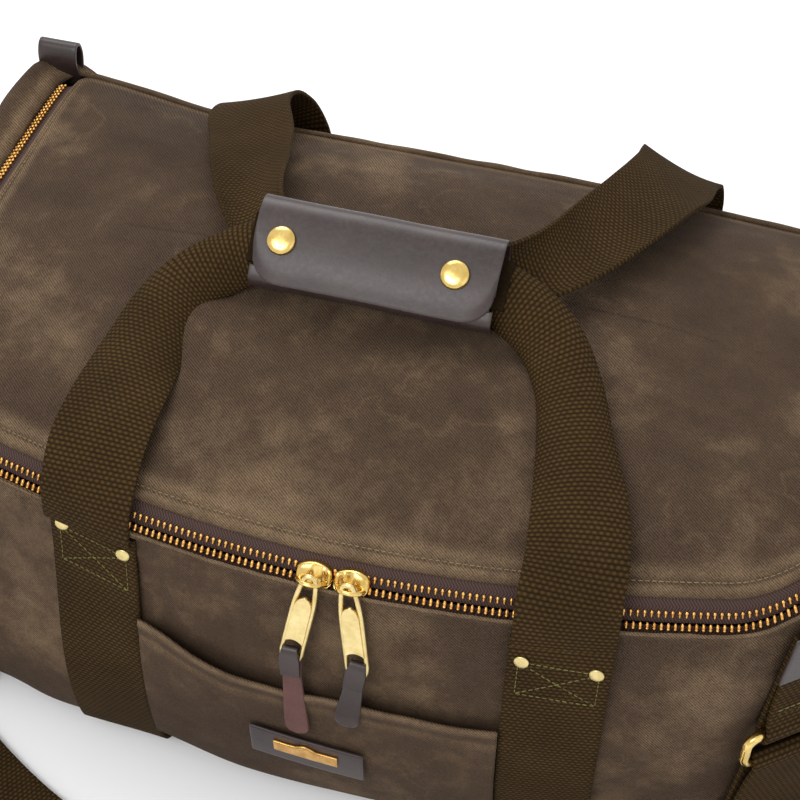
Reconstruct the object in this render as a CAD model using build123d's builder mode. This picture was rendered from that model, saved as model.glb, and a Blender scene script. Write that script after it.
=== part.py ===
"""Weekender bag: waxed canvas duffel with a U-shaped zipped top panel.

Millimetres. X runs along the length, Y from the front (-) to the back (+), Z up.
The origin is at the middle of the underside, on the surface that the bag stands on.
"""

from build123d import *
from math import asin, cos, radians, sin, sqrt
import os

os.makedirs("parts", exist_ok=True)

# ---- driving dimensions ----
HALF_LENGTH = 302.0  # middle of the bag to the outermost point of an end
FRONT_Y = -180.0  # furthest bulge of the front
BOW_Y = 572.0  # the front wall and its zip line are arcs about this point in plan
BACK_Y = 164.0  # furthest bulge of the back
CROWN_Z = 250.0  # top of the lid
END_TOP_Z = 228.0  # top of the bag at its ends
SEAM_Y = 150.0  # back seam, where the lid is hinged
SEAM_Z = 211.0
CANVAS = 2.0  # waxed canvas with its lining
WEBBING = 2.4
WEBBING_WIDTH = 50.0
LEATHER = 1.8
BAND_X = 124.0  # middle of each webbing band
BAND_TOP_Z = 190.0  # where a band becomes a free handle leg
RIVET_X = 18.0  # from a band's middle line
RIVET_Z = 172.0
ZIP_Y = -169.0  # zip line at the middle of the front
ZIP_Z = 201.0
ZIP_HALF = 252.0  # zip line at the ends, in plan
ZIP_RADIUS = 85.0
ZIP_TILT = 58.4  # slope of the surface under the front zip line
TOOTH_REACH = 4.7  # half the width of the zipper chain
TAPE_REACH = 17.0  # half the width of the zipper tape
GAP = 0.3  # between pieces that move against each other

# ---- derived sizes ----
FAR = 400.0  # further than any point of the bag
BASE_Z = WEBBING  # underside of the canvas; the bands lie under it
RIM_Z = 14.0  # top edge of the base panel
END_X = 230.0  # seam between the long panels and the end panels


def save(piece, name):
    """Label a finished piece and write it to its own STEP file."""
    piece.part.label = name
    export_step(piece.part, f"parts/{name}.step")


def plan_outline(grow):
    """Plan of the bag, with slack round corners."""
    with BuildSketch() as outline:
        with BuildLine():
            front = ThreePointArc((-190, -162), (0, FRONT_Y - 12), (190, -162))
            right_front = ThreePointArc(front @ 1, (252, -116), (HALF_LENGTH, -50))
            right = Line(right_front @ 1, (HALF_LENGTH, 95))
            right_back = ThreePointArc(right @ 1, (286, 144), (240, 163))
            back = ThreePointArc(right_back @ 1, (0, 168), (-240, 163))
            left_back = ThreePointArc(back @ 1, (-286, 144), (-HALF_LENGTH, 95))
            left = Line(left_back @ 1, (-HALF_LENGTH, -50))
            ThreePointArc(left @ 1, (-252, -116), front @ 0)
        make_face()
        if grow:
            offset(amount=grow)
    return outline.sketch


def side_outline(grow):
    """Section of the back, top and base across the length, drawn in Y and Z."""
    with BuildSketch() as outline:
        with BuildLine():
            base = Line((-240, BASE_Z), (142, BASE_Z))
            back_foot = ThreePointArc(base @ 1, (155, 7.5), (160, 20))
            back = ThreePointArc(back_foot @ 1, (BACK_Y, 110), (SEAM_Y, SEAM_Z))
            top = ThreePointArc(back @ 1, (10, CROWN_Z), (-132, 226))
            Polyline(top @ 1, (-240, 184), base @ 0)
        make_face()
        if grow:
            offset(amount=grow)
    return outline.sketch


def front_outline(grow):
    """Section of the front wall and its shoulder, swept round the bow of the front."""
    with BuildSketch() as outline:
        with BuildLine():
            base = Line((200, BASE_Z), (-146, BASE_Z))
            foot = ThreePointArc(base @ 1, (-160, 8), (-167, 22))
            wall = ThreePointArc(foot @ 1, (FRONT_Y, 100), (-177, 172))
            shoulder = ThreePointArc(wall @ 1, (ZIP_Y, ZIP_Z), (-132, 226))
            Polyline(shoulder @ 1, (0, 282), (200, 282), base @ 0)
        make_face()
        if grow:
            offset(amount=grow)
    return outline.sketch


def end_outline(grow):
    """Section of the bag along its length, drawn in X and Z."""
    with BuildSketch() as outline:
        with BuildLine():
            base = Line((-276, BASE_Z), (276, BASE_Z))
            right_foot = ThreePointArc(base @ 1, (291, 8), (297, 22))
            right = ThreePointArc(right_foot @ 1, (HALF_LENGTH, 105), (292, 180))
            right_top = ThreePointArc(right @ 1, (276, 212), (240, END_TOP_Z))
            top = ThreePointArc(right_top @ 1, (0, CROWN_Z + 3), (-240, END_TOP_Z))
            left_top = ThreePointArc(top @ 1, (-276, 212), (-292, 180))
            left = ThreePointArc(left_top @ 1, (-HALF_LENGTH, 105), (-297, 22))
            ThreePointArc(left @ 1, (-291, 8), base @ 0)
        make_face()
        if grow:
            offset(amount=grow)
    return outline.sketch


def form(grow):
    """The packed bag as one solid, grown all over by a distance."""
    with BuildPart() as body:
        with BuildSketch(Plane.XY.offset(-50)):
            add(plan_outline(grow))
        extrude(amount=FAR)
        with BuildSketch(Plane.YZ):
            add(side_outline(grow))
        extrude(amount=FAR, both=True, mode=Mode.INTERSECT)
        with BuildSketch(Plane.YZ):
            add(front_outline(grow))
        revolve(axis=Axis((0, BOW_Y, 0), (0, 0, 1)), mode=Mode.INTERSECT)
        with BuildSketch(Plane.XZ):
            add(end_outline(grow))
        extrude(amount=FAR, both=True, mode=Mode.INTERSECT)
    return body.part


def layer(inner, outer):
    """A skin of the bag between two offsets of its form."""
    with BuildPart() as skin:
        add(form(outer))
        add(form(inner), mode=Mode.SUBTRACT)
    return skin.part


def lid_plan(inset):
    """Plan of what lies inside the zip line, less an inset."""
    half = ZIP_HALF - inset
    bow = BOW_Y - ZIP_Y - inset
    end_y = BOW_Y - sqrt(bow**2 - half**2)
    with BuildSketch() as region:
        with BuildLine():
            front = ThreePointArc((-half, end_y), (0, BOW_Y - bow), (half, end_y))
            Polyline(front @ 1, (half, SEAM_Y), (-half, SEAM_Y), front @ 0)
        make_face()
        fillet(region.vertices().sort_by(Axis.Y)[:2], ZIP_RADIUS - inset)
    return region.sketch


CANVAS_LAYER = layer(-CANVAS, 0)
TAPE_LAYER = layer(-CANVAS - 1.2, -CANVAS - 0.2)
CHAIN_LAYER = layer(-CANVAS - 1.2, 0.8)
WEBBING_LAYER = layer(0, WEBBING)

# ---- planes on the bag's surface ----
FRONT_WALL_Y = -177.0  # canvas of the front wall at the rivets, at the middle
BACK_WALL_Y = 157.8  # canvas of the back wall at the rivets
FRONT_LEAN = 7.0
BACK_LEAN = 9.1


def bow_plane(x, y, z, lean, height=0.0):
    """Plane on the bowed front, which leans back; local X along it, local Z out of it."""
    turn = asin(x / (BOW_Y - y))
    normal = Vector(sin(turn) * cos(lean), -cos(turn) * cos(lean), sin(lean))
    place = Vector(x, BOW_Y - (BOW_Y - y) * cos(turn), z)
    return Plane(
        origin=place + normal * height,
        x_dir=(cos(turn), sin(turn), 0),
        z_dir=normal,
    )


def wall_plane(x, z, side):
    """Plane on a band's outer face at the rivets; side is -1 in front, 1 behind."""
    if side < 0:
        return bow_plane(x, FRONT_WALL_Y, z, radians(FRONT_LEAN), WEBBING + 0.5)
    lean = radians(BACK_LEAN)
    place = (x, BACK_WALL_Y + WEBBING * cos(lean), z)
    return Plane(origin=place, x_dir=(1, 0, 0), z_dir=(0, cos(lean), sin(lean)))


def zip_plane(x, height=0.0):
    """Plane on the front zip line: local Y up the slope, local Z away from the bag."""
    return bow_plane(x, ZIP_Y, ZIP_Z, radians(90 - ZIP_TILT), height)


RIVET_PLACES = [
    (band * BAND_X + edge * RIVET_X, side)
    for side in (-1, 1)
    for band in (-1, 1)
    for edge in (-1, 1)
]
RIVET_HOLE = 3.4

with BuildPart() as rivet_holes:
    for rivet_x, rivet_side in RIVET_PLACES:
        with BuildSketch(wall_plane(rivet_x, RIVET_Z, rivet_side)):
            Circle(RIVET_HOLE / 2)
        extrude(amount=8, both=True)
RIVET_HOLES = rivet_holes.part

# ---- canvas shell ----
with BuildPart() as base_panel:
    add(CANVAS_LAYER)
    with BuildSketch():
        Rectangle(2 * FAR, 2 * FAR)
    extrude(amount=RIM_Z, mode=Mode.INTERSECT)
    with BuildSketch():
        RectangleRounded(530, 270, 80)
        with Locations((-BAND_X, 0), (BAND_X, 0)):
            Rectangle(WEBBING_WIDTH + 0.6, 400, mode=Mode.SUBTRACT)
    extrude(amount=BASE_Z)
save(base_panel, "base_panel")

with BuildPart() as front_panel:
    add(CANVAS_LAYER)
    with BuildSketch(Plane.XY.offset(RIM_Z)):
        with Locations((0, -FAR / 2)):
            Rectangle(2 * END_X, FAR)
        add(lid_plan(-TOOTH_REACH - GAP), mode=Mode.SUBTRACT)
    extrude(amount=FAR, mode=Mode.INTERSECT)
    add(RIVET_HOLES, mode=Mode.SUBTRACT)
save(front_panel, "front_panel")

with BuildPart() as back_panel:
    add(CANVAS_LAYER)
    with BuildSketch(Plane.XY.offset(RIM_Z)):
        with Locations((0, SEAM_Y + FAR / 2)):
            Rectangle(2 * END_X, FAR)
    extrude(amount=FAR, mode=Mode.INTERSECT)
    add(RIVET_HOLES, mode=Mode.SUBTRACT)
save(back_panel, "back_panel")

for end_name, end_side in (("left", -1), ("right", 1)):
    with BuildPart() as end_panel:
        add(CANVAS_LAYER)
        with BuildSketch(Plane.XY.offset(RIM_Z)):
            with Locations((end_side * (END_X + FAR / 2), 0)):
                Rectangle(FAR, 2 * FAR)
            add(lid_plan(-TOOTH_REACH - GAP), mode=Mode.SUBTRACT)
        extrude(amount=FAR, mode=Mode.INTERSECT)
    save(end_panel, f"end_panel_{end_name}")

# ---- lid and zipper ----
LID_EDGE = 10.0  # lid's edge, inside the zip line
LID_LOWEST_Z = 196.0

with BuildPart() as top_panel:
    add(CANVAS_LAYER)
    with BuildSketch(Plane.XY.offset(LID_LOWEST_Z)):
        add(lid_plan(LID_EDGE))
        with Locations((0, SEAM_Y)):
            Rectangle(2 * FAR, 2 * GAP, mode=Mode.SUBTRACT)
    extrude(amount=FAR, mode=Mode.INTERSECT)
save(top_panel, "top_panel")

POST_WIDTH = 1.2

with BuildPart() as post_path:
    with BuildSketch(Plane.YZ):
        with Locations(Location((ZIP_Y, ZIP_Z), ZIP_TILT)):
            Rectangle(POST_WIDTH + 2 * GAP, 14)
    revolve(axis=Axis((0, BOW_Y, 0), (0, 0, 1)))
POST_PATH = post_path.part

ZIP_PIECES = {
    "zipper_tape_lid": (TAPE_LAYER, TOOTH_REACH, TAPE_REACH),
    "zipper_chain_lid": (CHAIN_LAYER, GAP / 2, TOOTH_REACH),
    "zipper_chain_body": (CHAIN_LAYER, -TOOTH_REACH, -GAP / 2),
    "zipper_tape_body": (TAPE_LAYER, -TAPE_REACH, -TOOTH_REACH),
}
for zip_name, (zip_layer, zip_out, zip_in) in ZIP_PIECES.items():
    with BuildPart() as zip_piece:
        add(zip_layer)
        with BuildSketch(Plane.XY.offset(182)):
            add(lid_plan(zip_out))
            add(lid_plan(zip_in), mode=Mode.SUBTRACT)
            with Locations((0, SEAM_Y)):
                Rectangle(2 * FAR, 4, mode=Mode.SUBTRACT)
        extrude(amount=FAR, mode=Mode.INTERSECT)
        add(POST_PATH, mode=Mode.SUBTRACT)
    save(zip_piece, zip_name)

SLIDERS_MEET_X = 11.0  # the two sliders touch here, head to head
SLIDER_LENGTH = 18.0
SLIDER_WAIST = 2.0  # from the middle, where a slider is widest
SLIDER_HALF_WIDTH = 7.2
SLIDER_NOSE = 5.2  # half width of the head
SLIDER_TAIL = 5.6  # half width of the tail
POST_LENGTH = 5.0
PLATE_UNDER = -6.6  # underside of a slider, below the bag's surface
PLATE_TOP = 3.4
PLATE = 1.8  # thickness of a slider's two plates
PIN_HEIGHT = 8.2  # middle of the pull's pin above the surface
PIN_DOWN = 2.0  # down the slope from the zip line
PIN_HALF = 1.9  # from the pin's middle to the middle of each upright
BAIL = 1.7  # thickness of the bail's wire
BAIL_WIDTH = 2.6
PULL_LENGTH = 56.0
PULL_HEAD = 4.0  # of its length, above the pin
PULL_WIDTH = 11.5
PULL_THICKNESS = 2.4
PULL_SWAY = 9.0  # each pull leans out to its own side
PULL_DROP = 12.0  # each pull leans forward from the upright
PULL_FACE = 0.6  # height of the raised face in the middle of a pull
SLIT_Y = 8.5 - PULL_LENGTH  # middle of the slit, below the pin


def pull_plane(side):
    """Plane of a hanging pull at its pin: local Y up the pull, local Z to the front."""
    middle = SLIDERS_MEET_X + side * (SLIDER_LENGTH / 2 + 0.5)
    pin = zip_plane(middle, PIN_HEIGHT).from_local_coords(Vector(0, -PIN_DOWN, 0))
    sway = radians(side * PULL_SWAY)
    drop = radians(PULL_DROP)
    return Plane(
        origin=pin,
        x_dir=(cos(sway), sin(sway) * sin(drop), sin(sway) * cos(drop)),
        z_dir=(0, -cos(drop), sin(drop)),
    )


TAB_LENGTH = {-1: 71.0, 1: 55.0}
TAB_TURN = {-1: 2.0, 1: -7.0}  # how each leather tab hangs, about the vertical
TAB_WIDTH = 13.0
TAB_LEAN = 1.5
TAB_STEM = (3.4, 1.6)  # the neck of a tab, through its pull's slit

for side_name, side in (("left", -1), ("right", 1)):
    middle = SLIDERS_MEET_X + side * (SLIDER_LENGTH / 2 + 0.5)
    head = -side  # the head of each slider faces the other one
    front_x = head * SLIDER_LENGTH / 2
    waist_x = head * -SLIDER_WAIST
    with BuildPart() as slider:
        for height in (PLATE_UNDER, PLATE_TOP - PLATE):
            with BuildSketch(zip_plane(middle, height)):
                with BuildLine():
                    nose = ThreePointArc(
                        (front_x, -SLIDER_NOSE),
                        (front_x - head * 0.4, 0),
                        (front_x, SLIDER_NOSE),
                    )
                    Polyline(nose @ 1, (waist_x, SLIDER_HALF_WIDTH), (-front_x, SLIDER_TAIL))
                    Line((-front_x, SLIDER_TAIL), (-front_x, -SLIDER_TAIL))
                    Polyline((-front_x, -SLIDER_TAIL), (waist_x, -SLIDER_HALF_WIDTH), nose @ 0)
                make_face()
            extrude(amount=PLATE)
        with BuildSketch(zip_plane(middle, PLATE_UNDER)):
            with Locations((front_x - head * (POST_LENGTH / 2 + 2), 0)):
                RectangleRounded(POST_LENGTH, POST_WIDTH, 0.5)
        extrude(amount=PLATE_TOP - PLATE_UNDER)
        with BuildSketch(zip_plane(middle, PLATE_TOP)):
            with Locations((-PIN_HALF, -PIN_DOWN), (PIN_HALF, -PIN_DOWN)):
                RectangleRounded(BAIL, BAIL_WIDTH, 0.7)
        extrude(amount=PIN_HEIGHT - PLATE_TOP + BAIL)
        pin_end = zip_plane(middle, PIN_HEIGHT)
        with BuildSketch(
            Plane(
                origin=pin_end.from_local_coords(Vector(-PIN_HALF, -PIN_DOWN, 0)),
                x_dir=pin_end.z_dir,
                z_dir=pin_end.x_dir,
            )
        ):
            Circle(BAIL / 2)
        extrude(amount=2 * PIN_HALF)
    save(slider, f"slider_{side_name}")

    with BuildPart() as pull:
        with BuildSketch(pull_plane(side)):
            with Locations((0, PULL_HEAD - PULL_LENGTH / 2)):
                RectangleRounded(PULL_WIDTH, PULL_LENGTH, 4.5)
            with Locations((0, -3)):
                SlotCenterToCenter(6, 6.6, rotation=90, mode=Mode.SUBTRACT)
            with Locations((0, SLIT_Y)):
                SlotCenterToCenter(3.2, 3.2, mode=Mode.SUBTRACT)
        extrude(amount=PULL_THICKNESS / 2, both=True)
        with BuildSketch(pull_plane(side).offset(PULL_THICKNESS / 2)):
            with Locations((0, 0.5 - PULL_LENGTH / 2)):
                RectangleRounded(7.5, 24, 2.5)
        extrude(amount=PULL_FACE)
    save(pull, f"pull_{side_name}")

    turn = radians(TAB_TURN[side])
    tab_plane = Plane(
        origin=pull_plane(side).from_local_coords(Vector(0, SLIT_Y, 0)),
        x_dir=(cos(turn), 0, sin(turn)),
        z_dir=(0, -cos(radians(TAB_LEAN)), sin(radians(TAB_LEAN))),
    )
    with BuildPart() as pull_tab:
        with BuildSketch(tab_plane.offset(PULL_THICKNESS / 2 + 1.0)):
            with Locations((0, 2 - TAB_LENGTH[side] / 2)):
                RectangleRounded(TAB_WIDTH, TAB_LENGTH[side], 6)
        extrude(amount=LEATHER)
        with BuildSketch(tab_plane.offset(-PULL_THICKNESS / 2 - 0.6)):
            Rectangle(*TAB_STEM)
        extrude(amount=PULL_THICKNESS + 2)
    save(pull_tab, f"pull_tab_{side_name}")

# ---- leather loops at the zipper's ends ----
END_TAB_WIDTH = 25.0
END_TAB_HEIGHT = 28.0
END_TAB_OUT = 4.2  # face of a tab behind the seam
END_TAB_RISE = 3.0  # foot of a tab above the seam

for side_name, side in (("left", -1), ("right", 1)):
    with BuildPart() as end_tab:
        with BuildSketch(Plane.XZ.offset(-SEAM_Y - END_TAB_OUT)):
            with Locations((side * ZIP_HALF, SEAM_Z + END_TAB_RISE + END_TAB_HEIGHT / 2)):
                RectangleRounded(END_TAB_WIDTH, END_TAB_HEIGHT, 2)
        extrude(amount=-2 * LEATHER)
    save(end_tab, f"zipper_end_tab_{side_name}")

# ---- webbing bands round the body, with the slip pocket between them in front ----
BANDS = (("left", -BAND_X), ("right", BAND_X))

for band_name, band_x in BANDS:
    with BuildPart() as band:
        add(WEBBING_LAYER)
        with BuildSketch(Plane.YZ.offset(band_x - WEBBING_WIDTH / 2)):
            with Locations((0, BAND_TOP_Z / 2)):
                Rectangle(2 * FAR, BAND_TOP_Z)
        extrude(amount=WEBBING_WIDTH, mode=Mode.INTERSECT)
        add(RIVET_HOLES, mode=Mode.SUBTRACT)
    save(band, f"band_{band_name}")

RIVET_HEAD = 8.5
with BuildPart() as anchor_rivets:
    for rivet_x, rivet_side in RIVET_PLACES:
        face = wall_plane(rivet_x, RIVET_Z, rivet_side)
        with BuildSketch(face.offset(0.1)):
            Circle(RIVET_HEAD / 2)
        extrude(amount=1.4, taper=25)
        with BuildSketch(face.offset(-WEBBING - CANVAS - 2.9)):
            Circle(1.5)
        extrude(amount=WEBBING + CANVAS + 3.6)
        with BuildSketch(face.offset(-WEBBING - CANVAS - 2.9)):
            Circle(4)
        extrude(amount=1.2)
save(anchor_rivets, "anchor_rivets")

POCKET_TOP_Z = 116.0
POCKET_HEM = 13.0
POCKET = 1.4
POCKET_WIDTH = 2 * BAND_X - WEBBING_WIDTH - 0.6
LONG_SIDE_Y = 100.0  # nearer than either long wall
with BuildPart() as slip_pocket:
    add(layer(0, POCKET))
    with BuildSketch(Plane.XZ.offset(LONG_SIDE_Y)):
        with Locations((0, (RIM_Z + POCKET_TOP_Z) / 2)):
            Rectangle(POCKET_WIDTH, POCKET_TOP_Z - RIM_Z)
    extrude(amount=LONG_SIDE_Y, mode=Mode.INTERSECT)
save(slip_pocket, "slip_pocket")

with BuildPart() as pocket_hem:
    add(layer(POCKET, POCKET + 1))
    with BuildSketch(Plane.XZ.offset(LONG_SIDE_Y)):
        with Locations((0, POCKET_TOP_Z - POCKET_HEM / 2)):
            Rectangle(POCKET_WIDTH, POCKET_HEM)
    extrude(amount=LONG_SIDE_Y, mode=Mode.INTERSECT)
save(pocket_hem, "pocket_hem")

LABEL_X = 0.0
LABEL_Z = 66.0
LABEL_WIDTH = 62.0
LABEL_HEIGHT = 25.0
with BuildPart() as label_patch:
    add(layer(POCKET, POCKET + LEATHER))
    with BuildSketch(Plane.XZ.offset(LONG_SIDE_Y)):
        with Locations((LABEL_X, LABEL_Z)):
            Rectangle(LABEL_WIDTH, LABEL_HEIGHT)
    extrude(amount=LONG_SIDE_Y, mode=Mode.INTERSECT)
save(label_patch, "label_patch")

with BuildPart() as label_plate:
    add(layer(POCKET + LEATHER, POCKET + LEATHER + 1.2))
    with BuildSketch(Plane.XZ.offset(LONG_SIDE_Y)):
        with Locations((LABEL_X, LABEL_Z)):
            RectangleRounded(34, 11, 1.5)
            Ellipse(9, 8)
    extrude(amount=LONG_SIDE_Y, mode=Mode.INTERSECT)
save(label_plate, "label_plate")

# ---- handles: folded webbing cores in a snapped leather grip ----
GRIP_X = -10.0
GRIP_Y = -22.0
GRIP_Z = 275.0
GRIP_TILT = 40.0  # the grip leans to the front
GRIP_LENGTH = 128.0
GRIP_HALF_WIDTH = 20.0
GRIP_LEAN = radians(GRIP_TILT)
CORE_HALF_WIDTH = 13.0
CORE = 5.0  # webbing folded once


def grip_plane(depth=0.0):
    """Plane in the grip: local X along it, local Y up its face, local Z out of it."""
    normal = Vector(0, -sin(GRIP_LEAN), cos(GRIP_LEAN))
    place = Vector(GRIP_X, GRIP_Y, GRIP_Z) + normal * depth
    return Plane(origin=place, x_dir=(1, 0, 0), z_dir=normal)


CORE_DEPTHS = {"front": -2.4, "back": -8.0}
for core_name, core_depth in CORE_DEPTHS.items():
    with BuildPart() as core:
        with BuildSketch(grip_plane(core_depth)):
            Rectangle(GRIP_LENGTH + 8, 2 * CORE_HALF_WIDTH)
        extrude(amount=CORE)
    save(core, f"handle_{core_name}_core")

WRAP_BACK = -10.4  # underside of the leather, from the grip's plane
WRAP_TOP = 5.0
with BuildPart() as grip_wrap:
    with BuildSketch(grip_plane(WRAP_BACK)):
        Rectangle(GRIP_LENGTH, 2 * GRIP_HALF_WIDTH)
    extrude(amount=WRAP_TOP - WRAP_BACK)
    with BuildSketch(grip_plane(WRAP_BACK + LEATHER)):
        Rectangle(GRIP_LENGTH + 10, 2 * (GRIP_HALF_WIDTH - LEATHER))
    extrude(amount=40, mode=Mode.SUBTRACT)
save(grip_wrap, "grip_wrap")

SNAP_X = (-49.0, 42.0)  # from the grip's middle
SNAP_Y = -1.0
INNER_FLAP_WIDTH = 26.0
INNER_TOP = WRAP_TOP + 0.3
OUTER_TOP = INNER_TOP + LEATHER + 1.6

with BuildPart() as grip_inner_flap:
    with BuildSketch(grip_plane(INNER_TOP)):
        with Locations((0, INNER_FLAP_WIDTH / 2 - GRIP_HALF_WIDTH)):
            Rectangle(GRIP_LENGTH - 2, INNER_FLAP_WIDTH)
    extrude(amount=LEATHER)
save(grip_inner_flap, "grip_inner_flap")

with BuildPart() as snap_studs:
    with BuildSketch(grip_plane(INNER_TOP + LEATHER)):
        with Locations(*((x, SNAP_Y) for x in SNAP_X)):
            Circle(5)
    extrude(amount=1.1)
save(snap_studs, "snap_studs")

with BuildPart() as grip_flap:
    with BuildSketch(grip_plane(OUTER_TOP)):
        with BuildLine():
            corner = GRIP_LENGTH / 2
            reach = GRIP_HALF_WIDTH
            round_corner = 15
            Line((-corner, reach), (corner, reach))
            Line((corner, reach), (corner, round_corner - reach))
            CenterArc((corner - round_corner, round_corner - reach), round_corner, -90, 90)
            Line((corner - round_corner, -reach), (round_corner - corner, -reach))
            CenterArc((round_corner - corner, round_corner - reach), round_corner, 180, 90)
            Line((-corner, round_corner - reach), (-corner, reach))
        make_face()
    extrude(amount=LEATHER)
save(grip_flap, "grip_flap")

with BuildPart() as snap_caps:
    with BuildSketch(grip_plane(OUTER_TOP + LEATHER)):
        with Locations(*((x, SNAP_Y) for x in SNAP_X)):
            Circle(7.4)
    extrude(amount=2.4)
    outward = Axis(grip_plane().origin, grip_plane().z_dir)
    fillet(snap_caps.faces().sort_by(outward)[-2:].edges(), 2.2)
save(snap_caps, "snap_caps")

# ---- free handle legs: the band's webbing, folding into the grip ----
LEG_START = 0.4  # above the end of the band
FOLDED_WIDTH = 26.0

# place, direction of the run, direction across it, width and thickness of each section
FRONT_LEG = (
    ((124.3, -166, BAND_TOP_Z + LEG_START), (0, 0, 1), (0.986, 0.167, 0), 50, 2.4),
    ((124, -166, 214), (0, 0.35, 1), (0.99, 0.14, -0.05), 50, 2.4),
    ((124, -141, 236), (0, 1, 0.65), (1, 0, 0), 50, 2.4),
    ((121, -98, 247), (0, 1, 0.3), (1, 0, 0), 50, 2.6),
    ((108, -55, 260), (-0.6, 0.8, 0.25), (0.62, 0.65, 0.4), 38, 3.6),
    ((GRIP_LENGTH / 2 + 4.2, GRIP_Y, GRIP_Z), (-1, 0, 0), (0, 1, 0.84), FOLDED_WIDTH, 5),
)
BACK_LEG = (
    ((124, 155.8, BAND_TOP_Z + LEG_START), (0, -0.15, 1), (1, 0, 0), 50, 2.4),
    ((124, 159, 216), (0, 0, 1), (1, 0, 0), 50, 2.4),
    ((121, 146, 244), (0, -1, 0.7), (1, 0, 0), 50, 2.4),
    ((117, 108, 255), (0, -1, 0.05), (1, 0, 0), 50, 2.6),
    ((100, 42, 262), (-0.5, -0.9, 0.1), (0.8, -0.5, -0.3), 38, 3.6),
    ((GRIP_LENGTH / 2 + 4.2, GRIP_Y, GRIP_Z), (-1, 0, 0), (0, -1, -0.84), FOLDED_WIDTH, 5),
)


def leg_sections(stations, side, depth):
    """Planes and sizes along one leg; side is -1 on the left, 1 on the right."""
    sections = []
    for place, run, across, width, thick in stations:
        x, y, z = place
        if width == FOLDED_WIDTH:
            x = GRIP_X + side * x
            y = y - depth * sin(GRIP_LEAN)
            z = z + depth * cos(GRIP_LEAN)
        else:
            x = side * x
        plane = Plane(
            origin=(x, y, z),
            x_dir=(across[0], side * across[1], side * across[2]),
            z_dir=(side * run[0], run[1], run[2]),
        )
        sections.append((plane, width, thick))
    return sections


LEGS = {
    "front": (FRONT_LEG, CORE_DEPTHS["front"] + CORE / 2),
    "back": (BACK_LEG, CORE_DEPTHS["back"] + CORE / 2),
}
for leg_place, (stations, depth) in LEGS.items():
    for side_name, side in (("left", -1), ("right", 1)):
        with BuildPart() as leg:
            for plane, width, thick in leg_sections(stations, side, depth):
                with BuildSketch(plane):
                    Rectangle(width, thick)
            loft(ruled=True)
        save(leg, f"handle_{leg_place}_leg_{side_name}")

# ---- shoulder strap: corner anchors, rings, webbing and its adjuster ----
CORNER_TURN = 40.0  # an anchor faces this far round from the front
CORNER_REACH = 251.4  # from the middle of the bag to the corner's canvas, that way
ANCHOR_SHIFT = 101.5  # along the corner, from that nearest point
ANCHOR_TOP_Z = 200.0
RING_TOP_Z = 128.5  # middle of a ring's upper bar
RING_DROP = 22.0  # between its two bars
RING_WIDTH = 62.0  # between its two sides, middle to middle
RING_WIRE = 5.0
RING_OUT = 6.4  # middle of a ring, out from the canvas
LOOP = RING_WIRE / 2 + 0.4  # inside radius of the webbing round a bar


def corner_plane(side, out, z):
    """Plane facing out of a front corner: local X along the corner, local Y up."""
    turn = radians(CORNER_TURN)
    reach = CORNER_REACH + out
    x = side * (reach * sin(turn) + ANCHOR_SHIFT * cos(turn))
    y = ANCHOR_SHIFT * sin(turn) - reach * cos(turn)
    return Plane(
        origin=(x, y, z),
        x_dir=(cos(turn), side * sin(turn), 0),
        z_dir=(side * sin(turn), -cos(turn), 0),
    )


def webbing_loop(side, bar_z):
    """Webbing folded round one bar of a ring."""
    across = corner_plane(side, RING_OUT, bar_z)
    end = across.from_local_coords(Vector(-WEBBING_WIDTH / 2 + 0.5, 0, 0))
    with BuildPart() as loop:
        with BuildSketch(Plane(origin=end, x_dir=across.z_dir, z_dir=across.x_dir)):
            Circle(LOOP + WEBBING)
            Circle(LOOP, mode=Mode.SUBTRACT)
        extrude(amount=WEBBING_WIDTH - 1)
    return loop.part


RUN_CENTRE_Y = 109.0
RUN_RADIUS = 374.0
RUN_LIFT = 2.0  # underside of the webbing on the ground, clear of the adjuster's frame
RUN_ANGLE = 46.0  # each way from the middle
ADJUSTER_ANGLE = 25.0
ADJUSTER_LENGTH = 22.0
ADJUSTER_HEIGHT = 9.0
RUN_LEVELS = {"strap_run": RUN_LIFT, "strap_return": RUN_LIFT + WEBBING + GAP}
RUN_STARTS = {"strap_run": -90 - RUN_ANGLE, "strap_return": -90 + ADJUSTER_ANGLE - 3}
FOOT_Z = RUN_LEVELS["strap_return"] + WEBBING + GAP

for run_name, run_z in RUN_LEVELS.items():
    with BuildPart() as run:
        with BuildSketch(Plane.XY.offset(run_z)):
            with BuildLine():
                start = RUN_STARTS[run_name]
                sweep_angle = -90 + RUN_ANGLE - start
                inner = RUN_RADIUS - WEBBING_WIDTH / 2
                outer = RUN_RADIUS + WEBBING_WIDTH / 2
                inner_arc = CenterArc((0, RUN_CENTRE_Y), inner, start, sweep_angle)
                outer_arc = CenterArc((0, RUN_CENTRE_Y), outer, start, sweep_angle)
                Line(inner_arc @ 0, outer_arc @ 0)
                Line(inner_arc @ 1, outer_arc @ 1)
            make_face()
        extrude(amount=WEBBING)
    save(run, run_name)

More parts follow.
